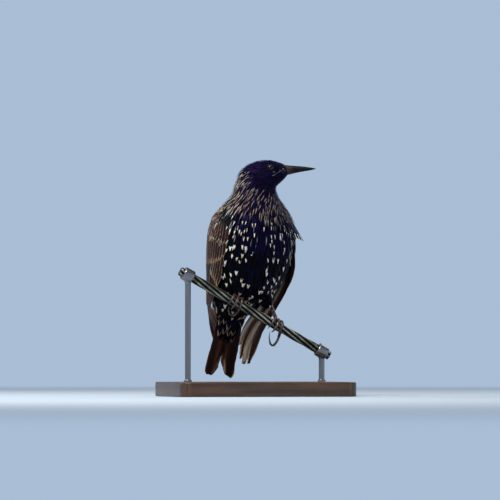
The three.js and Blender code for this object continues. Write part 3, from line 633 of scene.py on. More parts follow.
def rounded_form(table, t, angle, pinch=0):
    """The surface of a round form whose ends close smoothly. Each row of its table is a place, the heights
    of top and underside there, and the half width. pinch narrows it towards its top."""
    rows = [(i, back, (top + low) / 2, ((top - low) / 2) ** 2, half**2)
            for i, (back, top, low, half) in enumerate(table)]
    back, middle, high, wide = between(rows, t * (len(rows) - 1)).T
    half_height, half_width = (np.sqrt(np.maximum(square, 0)) for square in (high, wide))
    ridge = 1 - pinch * smooth_between(np.sin(angle), 0.1, 1)
    across = half_width * np.cos(angle) * ridge
    return np.stack([across, back, middle + half_height * np.sin(angle)], axis=1)


def bill_half(upper):
    bm = lofted(72, 40, lambda t, angle: rounded_form(BILL, t, angle, RIDGE_PINCH))
    sign = 1 if upper else -1
    normal = Vector((0, math.sin(MOUTH["slope"]), math.cos(MOUTH["slope"])))
    point = Vector((0, MOUTH["back"], MOUTH["height"])) + normal * sign * MOUTH["gap"]
    whole = bm.verts[:] + bm.edges[:] + bm.faces[:]
    cleared = {"clear_inner": upper, "clear_outer": not upper}
    cut = bmesh.ops.bisect_plane(bm, geom=whole, plane_co=point, plane_no=normal, **cleared)
    bmesh.ops.holes_fill(bm, edges=[g for g in cut["geom_cut"] if isinstance(g, bmesh.types.BMEdge)])
    if upper:
        for vertex in bm.verts:
            run = (vertex.co.y - NOSTRIL["back"]) / NOSTRIL["length"]
            rise = (vertex.co.z - NOSTRIL["height"]) / NOSTRIL["rise"]
            away = math.hypot(run, rise)
            if vertex.co.z > NOSTRIL["above"] and away < 2:
                rim = math.exp(-(((away - NOSTRIL_RIM["at"]) / NOSTRIL_RIM["width"]) ** 2))
                sunk = NOSTRIL["depth"] * max(0, 1 - away) ** 0.7 - NOSTRIL_RIM["height"] * rim
                vertex.co.x -= math.copysign(sunk, vertex.co.x)
    bmesh.ops.transform(bm, matrix=HEAD, verts=bm.verts)
    return faced_out(bm)


bill_horn = Finish("bill_horn", IOR=1.35, Specular_Tint=(0.3, 0.3, 0.38, 1))
layers = bill_horn.noise(1.2, 4, bill_horn.stretched(6, 3, 0.5))
horn = layers.rise(0.3, 0.7).blend(tint(11, 10, 14), tint(30, 27, 31))
root_horn = layers.blend(tint(58, 42, 38), tint(92, 72, 64))
at_root = bill_horn.distance_from(HEAD.translation).rise(28, 19) * 0.7
bill_horn.shade({"Base Color": at_root.blend(horn, root_horn), "Roughness": 0.26 + layers * 0.18})
bill_horn.relief(layers, 0.05)
piece("bill_upper_horn", bill_half(True), bill_horn, "bill_horn", "bill_upper")
piece("bill_lower_horn", bill_half(False), bill_horn, "bill_horn", "bill_lower")

# The eyes: glossy balls with a black pupil in a dark brown iris, each in a ring of bare, wrinkled lid.
# They are set in the sides of the head and look a little forward.
EYE = {"radius": 3.2, "side": 10.1, "back": -6.6, "height": 4, "forward": math.radians(18)}
PUPIL = (1.1, 1.25)
# The lid's section, as distances from the eye's axis and outwards from its centre.
LID = [(2.08, 2.34), (2.09, 2.5), (2.16, 2.59), (2.3, 2.58), (2.46, 2.44), (2.7, 2.1), (3, 1.4), (2.9, 1.2),
       (2.5, 1.7), (2.08, 2.34)]
lid_skin = Finish("eyelid_skin", Roughness=0.6, IOR=1.25, Specular_Tint=(0.2, 0.2, 0.24, 1))
lid_grain = lid_skin.noise(0.35, 3)
lid_skin.shade({"Base Color": lid_grain.blend(tint(6, 5, 8), tint(22, 18, 21))})
lid_skin.relief(lid_grain, 0.06)
for name, side in (("right", -1), ("left", 1)):
    centre = Vector((side * EYE["side"], EYE["back"], EYE["height"]))
    outward = Vector((side * math.cos(EYE["forward"]), -math.sin(EYE["forward"]), 0))
    looking = HEAD @ Matrix.Translation(centre) @ outward.to_track_quat("Z", "Y").to_matrix().to_4x4()
    iris = Finish("eye_" + name, Roughness=0.04, IOR=1.45)
    ring = iris.noise(0.3, 3).blend(tint(20, 9, 6), tint(38, 19, 11))
    from_pupil = iris.distance_from(looking @ Vector((0, 0, EYE["radius"])))
    iris.shade({"Base Color": from_pupil.rise(*PUPIL).blend(tint(4, 3, 4), ring)})
    piece(f"eye_{name}_ball", ball(EYE["radius"], 40, 24, looking), iris, "eye", "eye_" + name)
    piece(f"eyelid_{name}", turned(LID, looking, 72), lid_skin, "plumage")

# The skin: one closed form under the whole coat, from the root of the bill over the head, neck and trunk to
# the thighs and vent. The coat's outer form is drawn first, and the skin lies inside it by the coat's depth.
BODY_YAW, BODY_LEAN = 7, 17
BODY = frame_at(-0.3, 12.5, 122, BODY_YAW, BODY_LEAN)
TAIL = frame_at(-11, 31, 78, BODY_YAW, 19, 5)
BEND = {"from": 10, "to": 75, "side": -10}
# Each row: along and back in the body's frame, and the half width and the reach to the front and back.
TRUNK = [
    (-64, 7, 0, 0, 0),
    (-61, 6.5, 11.5, 7, 6),
    (-53, 5, 18.5, 13, 10.5),
    (-41, 3, 25, 21, 15.5),
    (-26, 1, 30.5, 28, 21),
    (-8, 0, 34, 32, 25.5),
    (10, 0, 35.5, 34, 27.5),
    (25, 0, 34, 32.5, 27),
]
# Each row: the ring's centre, its yaw and lean, and the same three sizes.
NECK = [
    (-0.4, 0.6, 159, 12, 10, 26.5, 25.5, 22.5),
    (-0.6, -1.4, 166, 18, 4, 20.6, 19.6, 19),
    (-1, -2.8, 171.5, 22, 1, 18.7, 17, 17),
    (-0.4, -4.2, 178, 25, 0, 17.7, 15, 15.6),
    (1, -5, 187, 25, 0, 0, 0, 0),
]
# Each row as the bill's: how far behind the head's centre, the heights of crown and chin, and half the width.
SKULL = [
    (21.2, -2.4, -2.4, 0),
    (18, 4.8, -9.4, 7.6),
    (10.4, 10.2, -13.2, 11.9),
    (2, 12.9, -13.7, 13.2),
    (-4.5, 13.3, -12.3, 13.2),
    (-11, 12.3, -9, 11.4),
    (-15.5, 10.9, -5.3, 8.8),
    (-19, 9.5, -2, 6),
    (-21.6, 7.6, 1, 3.4),
    (-22.6, 4.6, 4.6, 0),
]
# Each row: the middle of the feathered thigh, the way to the knee, and its radii.
THIGHS = {
    "right": ((-13.5, 12.5, 99), (-0.2, -0.36, -0.91), (8, 8, 14)),
    "left": ((10, 15.5, 92), (0.2, -0.33, -0.92), (9, 9, 21)),
}
VOXEL = 0.75


def bend(along):
    """How far the hind end of the body is bent to its right."""
    return BEND["side"] * smooth_between(-np.asarray(along, float), BEND["from"], BEND["to"])


def trunk_surface(t, angle):
    rows = []
    for along, back, *sizes in TRUNK:
        middle = BODY @ Vector((float(bend(along)), back, along))
        rows.append((*middle, BODY_YAW, BODY_LEAN, *sizes))
    rows = [(i, *row[:5], *(size**2 for size in row[5:])) for i, row in enumerate(rows + NECK)]
    x, y, z, yaw, lean, side, front, rear = between(rows, t * (len(rows) - 1)).T
    wide, before, behind = (np.sqrt(np.maximum(square, 0)) for square in (side, front, rear))
    across = wide * np.cos(angle)
    back = np.where(np.sin(angle) > 0, behind, before) * np.sin(angle)
    yaw, lean = np.radians(yaw), np.radians(lean)
    level = back * np.cos(lean)
    turned_x = across * np.cos(yaw) - level * np.sin(yaw)
    turned_y = across * np.sin(yaw) + level * np.cos(yaw)
    return np.stack([x + turned_x, y + turned_y, z + back * np.sin(lean)], axis=1)


flesh = [lofted(80, 72, trunk_surface)]
flesh.append(lofted(48, 48, lambda t, angle: out_of(HEAD, rounded_form(SKULL, t, angle))))
for middle, to_knee, radii in THIGHS.values():
    turn = Vector((0, 0, -1)).rotation_difference(Vector(to_knee)).to_matrix().to_4x4()
    flesh.append(ball(1, 40, 28, Matrix.Translation(middle) @ turn @ Matrix.Diagonal((*radii, 1))))


def one_body(bm, voxel, smoothing):
    """Fuses overlapping closed shapes into one, evenly meshed and smooth. Sizes are in millimetres."""
    rough = bpy.data.meshes.new("rough")
    bm.to_mesh(rough)
    bm.free()
    carrier = bpy.data.objects.new("rough", rough)
    bpy.context.scene.collection.objects.link(carrier)
    fuse = carrier.modifiers.new("fuse", "REMESH")
    fuse.mode, fuse.voxel_size = "VOXEL", voxel
    soften = carrier.modifiers.new("soften", "SMOOTH")
    soften.factor, soften.iterations = 0.5, smoothing
    graph = bpy.context.evaluated_depsgraph_get()
    fused = bmesh.new()
    fused.from_object(carrier, graph)
    bpy.data.objects.remove(carrier)
    bpy.data.meshes.remove(rough)
    return fused


coat_form = one_body(joined(*flesh), VOXEL, 12)
coat_form.normal_update()
outer_points = np.array([v.co for v in coat_form.verts])
outer_normals = np.array([v.normal for v in coat_form.verts])


# The front of the face, in the head's frame.
FACE = (0, -16, 2)


def from_face(points):
    """How far each place is from the front of the face."""
    return np.linalg.norm(into(HEAD, points) - FACE, axis=-1)


def coat_depth(points):
    """How deep the coat is over the skin: thin on the face, and thickest on the breast and belly."""
    reach = from_face(points)
    return 0.35 + 0.75 * smooth_between(reach, 4, 16) + 1.7 * smooth_between(reach, 22, 50)


skin = coat_form.copy()
for vertex, place in zip(skin.verts, outer_points - outer_normals * coat_depth(outer_points)[:, None]):
    vertex.co = place


# The markings of the plumage. Every feather is a dark, glossy vane, violet, blue or green by where it grows.
# Pale tips make the spots, pale shafts the streaks of the throat, and buff edges the pattern of the wings.
# A vane's own map runs across and along it, and its marks and tone are kept as colours on its points.
GLOSS_TINT = (0.42, 0.42, 0.58, 1)


def dressed(name, ior, ribs, gloss):
    """The finish of vanes. ribs is how many barbs cross one, and gloss how metallic its dark parts are."""
    finish = Finish(name, IOR=ior, Specular_Tint=GLOSS_TINT)
    from_left, along, _ = finish.channels("SeparateXYZ", finish.node("UVMap", uv_map="Vane"))
    layers = (finish.node("Attribute", attribute_name=layer, output="Color") for layer in ("marks", "tone"))
    parts = (finish.channels("SeparateColor", layer) for layer in layers)
    (size, streaked, edging), (warmth, hue, shade) = parts
    across = (from_left * 2 - 1).maths("ABSOLUTE")
    is_brown = hue.rise(0.84, 0.98)

    spot = (along + across * 0.05 + size * 0.16).rise(0.86, 0.9) * size.rise(0.02, 0.2)
    streak = across.rise(0.7, 0.3) * along.rise(0.35, 0.6) * streaked
    near_edge = across + along.rise(0.72, 1) * 0.42
    tip_only = along.rise(0.72 - is_brown * 0.64, 0.86 - is_brown * 0.61)
    fringe = near_edge.rise(1.06 - edging * 0.46, 1.12 - edging * 0.26) * tip_only * edging.rise(0, 0.35)
    pale = spot.maths("MAXIMUM", streak).maths("MAXIMUM", fringe)

    clouds = finish.noise(9, 2) - 0.5
    violet_blue = (hue + clouds * 0.5).rise(0.1, 0.4).blend(tint(39, 18, 76), tint(13, 22, 76))
    sheen = (hue + clouds * 0.4).rise(0.4, 0.75).blend(violet_blue, tint(12, 46, 38))
    dark = shade.blend(sheen, tint(6, 5, 8))
    worn = shade.rise(0.4, 1).blend(tint(140, 82, 58), tint(36, 24, 25))
    # At a low shade the brown turns pale grey; only the undersides painted with light reach it.
    brown = shade.rise(0.15, 0.4).blend(tint(180, 166, 150), worn)
    brown = (across.rise(0.8, 0.3) * shade.rise(0.1, 0.3) * 0.75).blend(brown, tint(22, 15, 16))
    covered = along.rise(0.5, 0.15).blend(is_brown.blend(dark, brown), tint(20, 17, 18))
    colour = pale.blend(covered, warmth.blend(tint(250, 246, 232), tint(190, 144, 96)))
    barbs = (along * ribs + across * ribs * 0.18).maths("SINE") * 0.5 + 0.5
    finish.shade({
        "Base Color": (barbs * 0.18 * (1 - pale * 0.8)).blend(colour, tint(14, 11, 12)),
        "Metallic": (1 - pale) * gloss,
        "Roughness": 0.4 + pale * 0.35 + barbs * 0.08,
    })
    finish.relief(barbs, 0.04, 0.6)
    return finish


plumage = dressed("glossy_plumage", 1.25, 130, 0.5)
# How much of the baking map one vane takes.
PATCH = 0.003


def vane_grid(rows, columns):
    """A flat vane closed along its edge. Its points are across, along, and 0 above or 1 below."""
    bm = bmesh.new()
    bmesh.ops.create_grid(bm, x_segments=columns, y_segments=rows, size=1)
    below = bmesh.ops.duplicate(bm, geom=bm.verts[:] + bm.edges[:] + bm.faces[:])["geom"]
    bmesh.ops.reverse_faces(bm, faces=[g for g in below if isinstance(g, bmesh.types.BMFace)])
    for g in below:
        if isinstance(g, bmesh.types.BMVert) and max(abs(g.co.x), abs(g.co.y)) < 0.999:
            g.co.z = 1
    bmesh.ops.remove_doubles(bm, verts=bm.verts, dist=1e-4)
    bm.verts.index_update()
    points = np.array([v.co for v in bm.verts])
    faces = np.array([[v.index for v in face.verts] for face in bm.faces])
    bm.free()
    points[:, 1] = 1 - (0.5 - points[:, 1] / 2) ** 1.2
    return points, faces


def coloured(mesh, marks, tone):
    """Keeps the marks and the tone of a mesh's points on it as colours."""
    for layer, values in (("marks", marks), ("tone", tone)):
        colours = np.ones((len(mesh.vertices), 4))
        colours[:, :3] = values.reshape(-1, 3)
        mesh.attributes.new(layer, "FLOAT_COLOR", "POINT").data.foreach_set("color", colours.ravel())


def vanes(name, grid, points, marks, tone, unwrap, finish, slot, *nodes, lining=None):
    """Joins vanes into one piece. points is vanes by grid points by 3, unwrap each root's place on the map,
    and lining the tone of each vane's underside where it differs."""
    shape, faces = grid
    count, size = points.shape[:2]
    mesh = bpy.data.meshes.new(name)
    one, two, three, four = (points[:, faces[:, corner]] for corner in range(4))
    volumes = np.sum(one * (np.cross(two, three) + np.cross(three, four)), axis=(1, 2))
    facing_out = np.where(volumes[:, None, None] < 0, faces[:, ::-1], faces)
    every = (facing_out + size * np.arange(count)[:, None, None]).reshape(-1, 4)
    mesh.from_pydata((points * MM).reshape(-1, 3).tolist(), [], every.tolist())
    own = np.stack([shape[:, 0] / 2 + 0.5, shape[:, 1]], axis=1)
    patches = unwrap[:, None] + PATCH * (own[None] - 0.5)
    for layer, places in (("Vane", np.tile(own, (count, 1))), ("OFBake", patches.reshape(-1, 2))):
        mesh.uv_layers.new(name=layer).data.foreach_set("uv", places[every.ravel()].ravel())
    marks, tone = (np.repeat(each[:, None], size, axis=1) for each in (marks, tone))
    if lining is not None:
        tone[:, shape[:, 2] > 0.5] = lining[:, None]
    coloured(mesh, marks, tone)
    return finished(placed(mesh, finish), nodes)


def rounded(t):
    return np.minimum(0.5 + 1.6 * t, 1) * np.sqrt(1 - 0.94 * smooth_between(t, 0.6, 1) ** 2)


def lancet(t):
    return np.minimum(0.5 + 1.6 * t, 1) * (1 - 0.93 * smooth_between(t, 0.25, 1.02))


# The coat of contour feathers. Each is rooted in the skin and lies over it along the coat's flow, and its
# tip reaches the coat's outer form. They are smallest on the face and longest on the belly and back.
class Form:
    """A closed surface that feathers lie on."""

    def __init__(self, bm):
        bm.normal_update()
        self.tree = BVHTree.FromBMesh(bm)
        self.quads = np.array([[v.co for v in face.verts] for face in bm.faces if len(face.verts) == 4])

    def nearest(self, points):
        """The nearest places on the surface, and the directions outwards there."""
        found = [self.tree.find_nearest(p)[:2] for p in points.reshape(-1, 3)]
        places, normals = np.array(found).swapaxes(0, 1)
        return places.reshape(points.shape), normals.reshape(points.shape)

    def roots(self, spacing, seed, wanted):
        """Scatters roots where they are wanted, no two nearer than the spacing there."""
        draw = np.random.default_rng(seed)
        quads = np.repeat(self.quads, 2, axis=0)
        a, b = draw.random((2, len(quads), 1))
        near, far = (quads[:, one] * (1 - a) + quads[:, two] * a for one, two in ((0, 1), (3, 2)))
        points = near * (1 - b) + far * b
        points = points[wanted(points)]
        gaps = spacing(points)
        crowd = KDTree(len(points))
        for i, point in enumerate(points):
            crowd.insert(point, i)
        crowd.balance()
        free = np.ones(len(points), bool)
        kept = []
        for i in draw.permutation(len(points)):
            if free[i]:
                kept.append(i)
                for _, j, _ in crowd.find_range(points[i], gaps[i]):
                    free[j] = False
        return points[kept]


BILL_ROOT = np.array(HEAD @ Vector((0, -20, 3)))
BODY_DOWN = -np.array(BODY.to_3x3().col[2])
TAIL_END = np.array(TAIL @ Vector((0, 0, -40)))
# How much vanes stray from the lie, how ragged their edges are, and how uneven their tips, as shares.
STRAY, RAGGED, SLIP = 0.07, 0.09, 0.045
CUPPED, CONTOUR_THICK = 0.16, 0.16


def lie(points, normals):
    """The way feathers lie: away from the bill over head and neck, then down the body and in to the tail."""
    reach = np.linalg.norm(points - BILL_ROOT, axis=-1, keepdims=True)
    near = 1 - smooth_between(reach, 18, 62)
    along = into(BODY, points)[..., 2:]
    hind = smooth_between(-along, 20, 62) * 0.8
    down = BODY_DOWN * (1 - hind) + unit(TAIL_END - points) * hind
    way = unit(points - BILL_ROOT) * near + down * (1 - near)
    return unit(way - normals * np.sum(way * normals, axis=-1, keepdims=True))


def draped(form, grid, roots, length, half, depth, lift, point, seed):
    """Lays vanes over a form. Each follows the lie of the coat from its root, which is sunk in the skin. Its
    tip ends at the form or stands out by its lift. point is 1 for a lancet and 0 for a round vane."""
    shape, _ = grid
    draw = np.random.default_rng(seed)
    rows = np.unique(np.round(shape[:, 1], 6))
    middle, normal = form.nearest(roots)
    stray = draw.normal(0, STRAY, (len(roots), 1))
    middles, normals, ways = [middle], [normal], []
    for before, after in zip(rows, rows[1:]):
        way = lie(middle, normal)
        way = unit(way + np.cross(normal, way) * stray)
        ways.append(way)
        middle, normal = form.nearest(middle + way * (length * (after - before))[:, None])
        middles.append(middle)
        normals.append(normal)
    ways.append(ways[-1])
    middles, normals, ways = (np.array(each) for each in (middles, normals, ways))
    width = half * (lancet(rows[:, None]) * point + rounded(rows[:, None]) * (1 - point))
    aside = np.cross(ways, normals) * width[..., None]
    left, left_out = form.nearest(middles - aside)
    right, right_out = form.nearest(middles + aside)
    row = np.searchsorted(rows, np.round(shape[:, 1], 6))
    s = shape[:, 0][:, None, None]
    t = shape[:, 1][:, None, None]
    under = shape[:, 2][:, None, None]
    ragged = draw.uniform(-1, 1, (len(shape), len(roots), 1)) * (np.abs(s) > 0.9) * (t > 0.1)
    s = s * (1 - RAGGED * (ragged + 1) * (t < 0.999))
    places = middles[row] + s * (right - left)[row] / 2 + s**2 * ((left + right)[row] / 2 - middles[row])
    outs = unit(normals[row] * (1 - np.abs(s)) + np.where(s < 0, left_out[row], right_out[row]) * np.abs(s))
    root_depth = depth[:, None] * (1 - t) ** 1.15
    arch = CUPPED * width[row][..., None] * (1 - s**2) * (0.4 + 0.6 * t)
    thick = CONTOUR_THICK * under * (1 - s**2) * np.sqrt(1 - 0.9 * t)
    height = arch - root_depth + lift[:, None] * t**2.2 - thick
    slip = length[:, None] * SLIP * draw.uniform(-1, 1, (len(shape), len(roots), 1)) * (t > 0.9)
    return (places + outs * height + ways[row] * slip).swapaxes(0, 1)


# Each row: how far roots are from the face, and the feathers' spacing, length, half width and pointedness.
COAT = [
    (0, 0.72, 2.2, 0.45, 0.2),
    (8, 0.85, 3.3, 0.55, 0.25),
    (16, 1.1, 5.2, 0.72, 0.4),
    (26, 1.4, 8, 0.85, 0.8),
    (38, 1.75, 10.5, 0.98, 1),
    (52, 2.15, 12, 1.35, 0.85),
    (68, 2.6, 12.5, 2, 0.5),
    (90, 2.95, 13.5, 2.3, 0.45),
    (120, 3.3, 15.5, 2.6, 0.6),
]


EYES = [np.array(HEAD @ Vector((side * 12.6, EYE["back"] - 0.8, EYE["height"]))) for side in (-1, 1)]


def bare(points):
    """Where no feather grows: in the ring of the eye, and under the root of the bill."""
    near_eye = np.min([np.linalg.norm(points - eye, axis=-1) for eye in EYES], axis=0) < 2.2
    in_head = into(HEAD, points)
    at_bill = (in_head[:, 1] < -20.3) & (np.abs(in_head[:, 0]) < 4.4)
    return near_eye | at_bill


body_form = Form(coat_form)
small_grid = vane_grid(5, 4)
body_grid = vane_grid(6, 4)


def markings(roots, seed):
    """The marks and tone of each feather by where its tip lies. A dark band runs down the middle of the
    breast between two fields of spots. Pale streaks lie on the throat, the sides of the neck and the nape."""
    draw = np.random.default_rng(seed)
    chance = draw.random((5, len(roots)))
    side, back, along = into(BODY, roots).T
    in_head = into(HEAD, roots)
    face = from_face(roots)
    turn = np.degrees(np.arctan2(side, -back))
    tip = along - 0.8 * between(COAT, face)[:, 1] * smooth_between(face, 24, 50)
    front = smooth_between(-back, -4, 8)
    low = smooth_between(-tip, 20, 32)
    dark_band = 1 - smooth_between(np.abs(turn + 8), 9, 15)
    spotted = smooth_between(-tip, -35, -27) * (1 - dark_band * (1 - 0.5 * low))
    dorsal = (1 - front) * smooth_between(face, 40, 55)
    outer = smooth_between(np.abs(turn + 4), 48, 70)
    lower = smooth_between(-tip, 4, 14)
    sparse = 0.05 * smooth_between(tip, 22, 28) * (1 - smooth_between(tip, 42, 48))
    often = front * spotted * (0.27 - 0.04 * lower - 0.05 * outer + 0.04 * low) + 0.4 * dorsal + sparse
    size = 0.55 + 0.5 * chance[1] - (0.1 * lower + 0.12 * low) * front - 0.25 * dorsal
    spot = np.where(chance[0] < often, size, 0)
    nape = smooth_between(in_head[:, 1], 4, 9) * smooth_between(-in_head[:, 2], -7, -1)
    throat = smooth_between(face, 16, 23) * smooth_between(-in_head[:, 2], 7, 13) + nape
    hackles = np.minimum(throat, 1) * smooth_between(tip, 30, 37)
    # Painted highlight: on the right side of the neck, which the key lamp lights, the streaks are painted
    # paler and whiter than on the left.
    right_neck_glint = smooth_between(-turn, 38, 60) * (1 - smooth_between(-turn, 100, 130))
    pale = 0.2 + 0.4 * chance[2] + 0.35 * right_neck_glint
    throat_end = smooth_between(face, 30, 40) * (1 - smooth_between(face, 66, 80))
    few = 0.1 * (1 - hackles) * smooth_between(tip, 4, 18) * throat_end
    streak = np.where(chance[3] < 0.62 * hackles, pale, np.where(chance[3] > 1 - few, 0.3, 0))
    from_gape = np.abs(in_head[:, 2] + 0.525 * in_head[:, 1] + 6.8)
    lores = (1 - smooth_between(from_gape, 0.8, 2)) * smooth_between(-in_head[:, 1], 9, 11)
    streak = np.where(chance[4] < 0.5 * lores, 0.32, streak)
    marks = np.stack([spot, np.minimum(streak, 1), 0 * spot], axis=1)
    warmth = 0.12 + 0.4 * hackles + 0.3 * nape - 0.3 * right_neck_glint
    warmth += 0.4 * dorsal + 0.3 * low + 0.3 * (chance[2] - 0.5)
    green = smooth_between(np.abs(turn), 35, 80) * 0.55 + 0.2 * dorsal
    hue = 0.2 + 0.22 * smooth_between(face, 40, 75) + green * smooth_between(face, 30, 50)
    hue += 0.25 * (chance[4] - 0.5)
    # Painted highlight: the crown gets less of the near-black tone and more of the violet-blue sheen colour,
    # so the top of the head is lighter.
    crown = smooth_between(in_head[:, 2], 5, 11)
    shade = 0.62 - 0.35 * crown + 0.3 * front * smooth_between(face, 50, 70) + 0.4 * (chance[0] - 0.5)
    return marks, np.clip(np.stack([warmth, np.minimum(hue, 0.8), shade], axis=1), 0, 1)


def unrolled(x, y, up):
    return np.stack([np.arctan2(x, -y) / (2 * math.pi) + 0.5, up], axis=1)


def round_body(points):
    """The body's unwrap: round it and along it."""
    x, y, z = into(BODY, points).T
    return unrolled(x, y, (z + 75) / 150)


def round_head(points):
    """The head's unwrap: round its upright axis, and down from the crown."""
    x, y, z = into(HEAD, points).T
    return unrolled(x, y, np.arctan2(z + 2, np.hypot(x, y)) / math.pi + 0.5)


def coat(name, grid, wanted, unwrap, seed):
    """One region of the coat, as one piece. It is shaggiest at the left side of the breast."""
    roots = body_form.roots(lambda p: between(COAT, from_face(p))[:, 0], seed, wanted)
    _, length, half, point = between(COAT, from_face(roots)).T
    draw = np.random.default_rng(seed + 1)
    change = draw.uniform(0.88, 1.14, len(roots))
    side, _, along = into(BODY, roots).T
    above, below = smooth_between(along, -12, 0), 1 - smooth_between(along, 30, 40)
    shaggy = smooth_between(side, 20, 30) * above * below
    lift = draw.uniform(0, 0.45, len(roots)) * np.minimum(1, length / 9)
    lift += shaggy * draw.uniform(-0.4, 1.2, len(roots))
    depth = coat_depth(roots) + 0.25
    points = draped(body_form, grid, roots, length * change, half * change, depth, lift, point, seed + 2)
    marks, tone = markings(roots, seed + 3)
    vanes(name, grid, points, marks, tone, unwrap(roots), plumage, "plumage")


# How far from the face the coats of the head and the neck end, and how far back that of the breast does.
HEAD_COAT, NECK_COAT, BREAST_COAT = 27, 58, 3


def on_head(points):
    return (from_face(points) < HEAD_COAT) & ~bare(points)


def on_neck(points):
    return (from_face(points) >= HEAD_COAT) & (from_face(points) < NECK_COAT)


def in_front(points):
    return (from_face(points) >= NECK_COAT) & (into(BODY, points)[:, 1] < BREAST_COAT)


def behind(points):
    return (from_face(points) >= NECK_COAT) & ~in_front(points)


marks, tone = markings(outer_points, 5)
skin_mesh = piece("skin", skin, plumage, "plumage", "head", "neck", "torso").data
skin_mesh.uv_layers.new(name="Vane").data.foreach_set("uv", np.full(2 * len(skin_mesh.loops), 0.5))
coloured(skin_mesh, marks * 0.25, tone)
coat("coat_head", small_grid, on_head, round_head, 11)
coat("coat_neck", body_grid, on_neck, round_body, 21)
coat("coat_breast", body_grid, in_front, round_body, 31)
coat("coat_back", body_grid, behind, round_body, 41)

# The wings, folded down the sides of the body and over the root of the tail. The right one lies flat, and the
# left one's front edge is tucked under the flank. Under the coverts each wing has a flat arm of flesh.
# Each row: along the body, the angle of the front edge, the half width and depth of the surface that the wing
# lies on, how far back its middle is, and how much further back the left wing's front edge is.
WING_FORM = [
    (-104, 66, 10.5, 7, 6.4, 8),
    (-92, 48, 13, 8.5, 6, 12),
    (-66, 10, 20, 13, 4.6, 25),
    (-44, -20, 28.5, 20.5, 2, 38),
    (-26, -31, 33.5, 25, 0.5, 41),
    (-9, -33, 36.5, 28, 0, 43),
    (10, -33, 36.6, 29, 0, 41),
    (23, -31, 34.6, 28.2, 0, 35),
    (36, -27, 28.8, 25.6, 0, 25),
    (46, -20, 22.6, 21.4, 0, 18),
]
WINGS = {
    "right": {"side": -1, "tuck": 0, "droop": 0, "swing": 0, "slipped": 0, "fan": 0, "seed": 100},
    "left": {"side": 1, "tuck": 1, "droop": 9, "swing": 6.2, "slipped": 1, "fan": 1.5, "seed": 200},
}
WRIST = (33, -6, 27)
WING_BEND = 0.75
ARM = {"centre": (10, 28, -1.9), "radii": (23, 28, 3.1)}
ARM_RIM = 1.2


def wing_point(wing, along, across, height):
    """A place on a folded wing: along the body, across from its front edge, and above its surface."""
    lead, wide, deep, back, tuck = np.moveaxis(between(WING_FORM, along), -1, 0)
    angle = np.radians(lead + wing["tuck"] * tuck) + across / ((wide + deep) / 2)
    out = unit(np.stack([deep * np.cos(angle), wide * np.sin(angle)], axis=-1))
    x = wide * np.cos(angle) + out[..., 0] * height
    y = back + deep * np.sin(angle) + out[..., 1] * height
    side = wing["side"]
    places = np.stack([x * side + WING_BEND * bend(along), y, along + 0 * x], axis=-1)
    wrist = Matrix.Translation((WRIST[0] * side, WRIST[1], WRIST[2]))
    droop = Matrix.Rotation(math.radians(-wing["droop"]), 4, "X")
    swing = Matrix.Rotation(math.radians(-side * wing["swing"]), 4, "Y")
    return out_of(BODY @ wrist @ swing @ droop @ wrist.inverted(), places)


# Each row of a wing, from the flight feathers up: how many feathers, their half width, where the first and
# the last have their root and tip, along the wing and then across it, and the heights of root and tip.
TIERS = {
    "primaries": (8, 3.1, (2, 2), (-93, -66), (4, 18), (4, 15), (-1, 0)),
    "secondaries": (6, 4.4, (2, 2), (-51, -43), (19, 32), (14, 27), (-0.7, 0.4)),
    "tertials": (4, 5.4, (4, 6), (-38, -14), (35, 47), (31, 43), (-0.5, 0.9)),
    "primary_coverts": (6, 2.7, (8, 8), (-30, -18), (1, 14), (2, 14), (-0.3, 0.5)),
    "greater_coverts": (17, 2.3, (18, 20), (-3, -20), (0, 46), (0, 42), (-0.1, 0.8)),
    "median_coverts": (17, 2.2, (28, 30), (9, 10), (-1, 46), (-1, 43), (0.1, 0.9)),
}
# How the row of tips curves, and how high above the fleshy arm the tips of the rows that lie over it are.
CURVES = {"primaries": 3, "greater_coverts": 0.6}
ON_ARM = {"greater_coverts": 0.3, "median_coverts": 0.6}
# In the left wing the primaries have slipped together. Each value is one feather's share of the way across.
SLIPPED = (0, 0.25, 0.3, 0.35, 0.6, 0.86, 0.93, 1)
LAYER, SHAFT_OFF, VANE_THICK = 0.3, -0.22, 0.14
wing_grid = vane_grid(18, 8)
covert_grid = vane_grid(10, 6)
flight = dressed("flight_feathers", 1.35, 420, 0.2)


def lerp(pair, share):
    return pair[0] + (pair[1] - pair[0]) * share


def cut_in(start, amount):
    """The outline of a stiff feather, which is cut in from start to its tip."""
    return lambda t: np.minimum(0.5 + 1.8 * t, 1) * np.sqrt(1 - amount * smooth_between(t, start, 1) ** 2)


def tapered(t):
    return (lancet(t) + rounded(t)) / 2


BLADE, BLUNT, SQUARE = cut_in(0.82, 0.9), cut_in(0.88, 0.76), cut_in(0.93, 0.75)
OUTLINES = {"primaries": BLADE, "secondaries": BLUNT}


def stiff_vane(grid, place, half, outline, tilt, draw, shaft_off=0.0, shaft=0.32, camber=0.12):
    """A wing or tail feather: two flat vanes and a raised shaft. place() gives each of its points."""
    s, t, under = grid[0].T
    notches = (np.abs(s) > 0.99) * draw.random(len(s)) ** 3 * 0.16 * (t > 0.12)
    across = half * outline(t) * (s * (1 - notches) + shaft_off * (1 - s**2))
    quill = (np.abs(s) < 0.05) * shaft
    arch = camber * half * (1 - s**2) * (1 - 0.5 * t)
    height = arch + quill * (1 - t) ** 0.7 - tilt * across - under * (VANE_THICK + quill * (1 - t))
    slip = 0.005 * draw.uniform(-1, 1, len(s)) * (t > 0.93)
    return place(t + slip, across, height)


def soft_vane(place, half, outline, draw, tilt=0, shaft=0.1, camber=0.2):
    return stiff_vane(covert_grid, place, half, outline, tilt, draw, 0, shaft, camber)


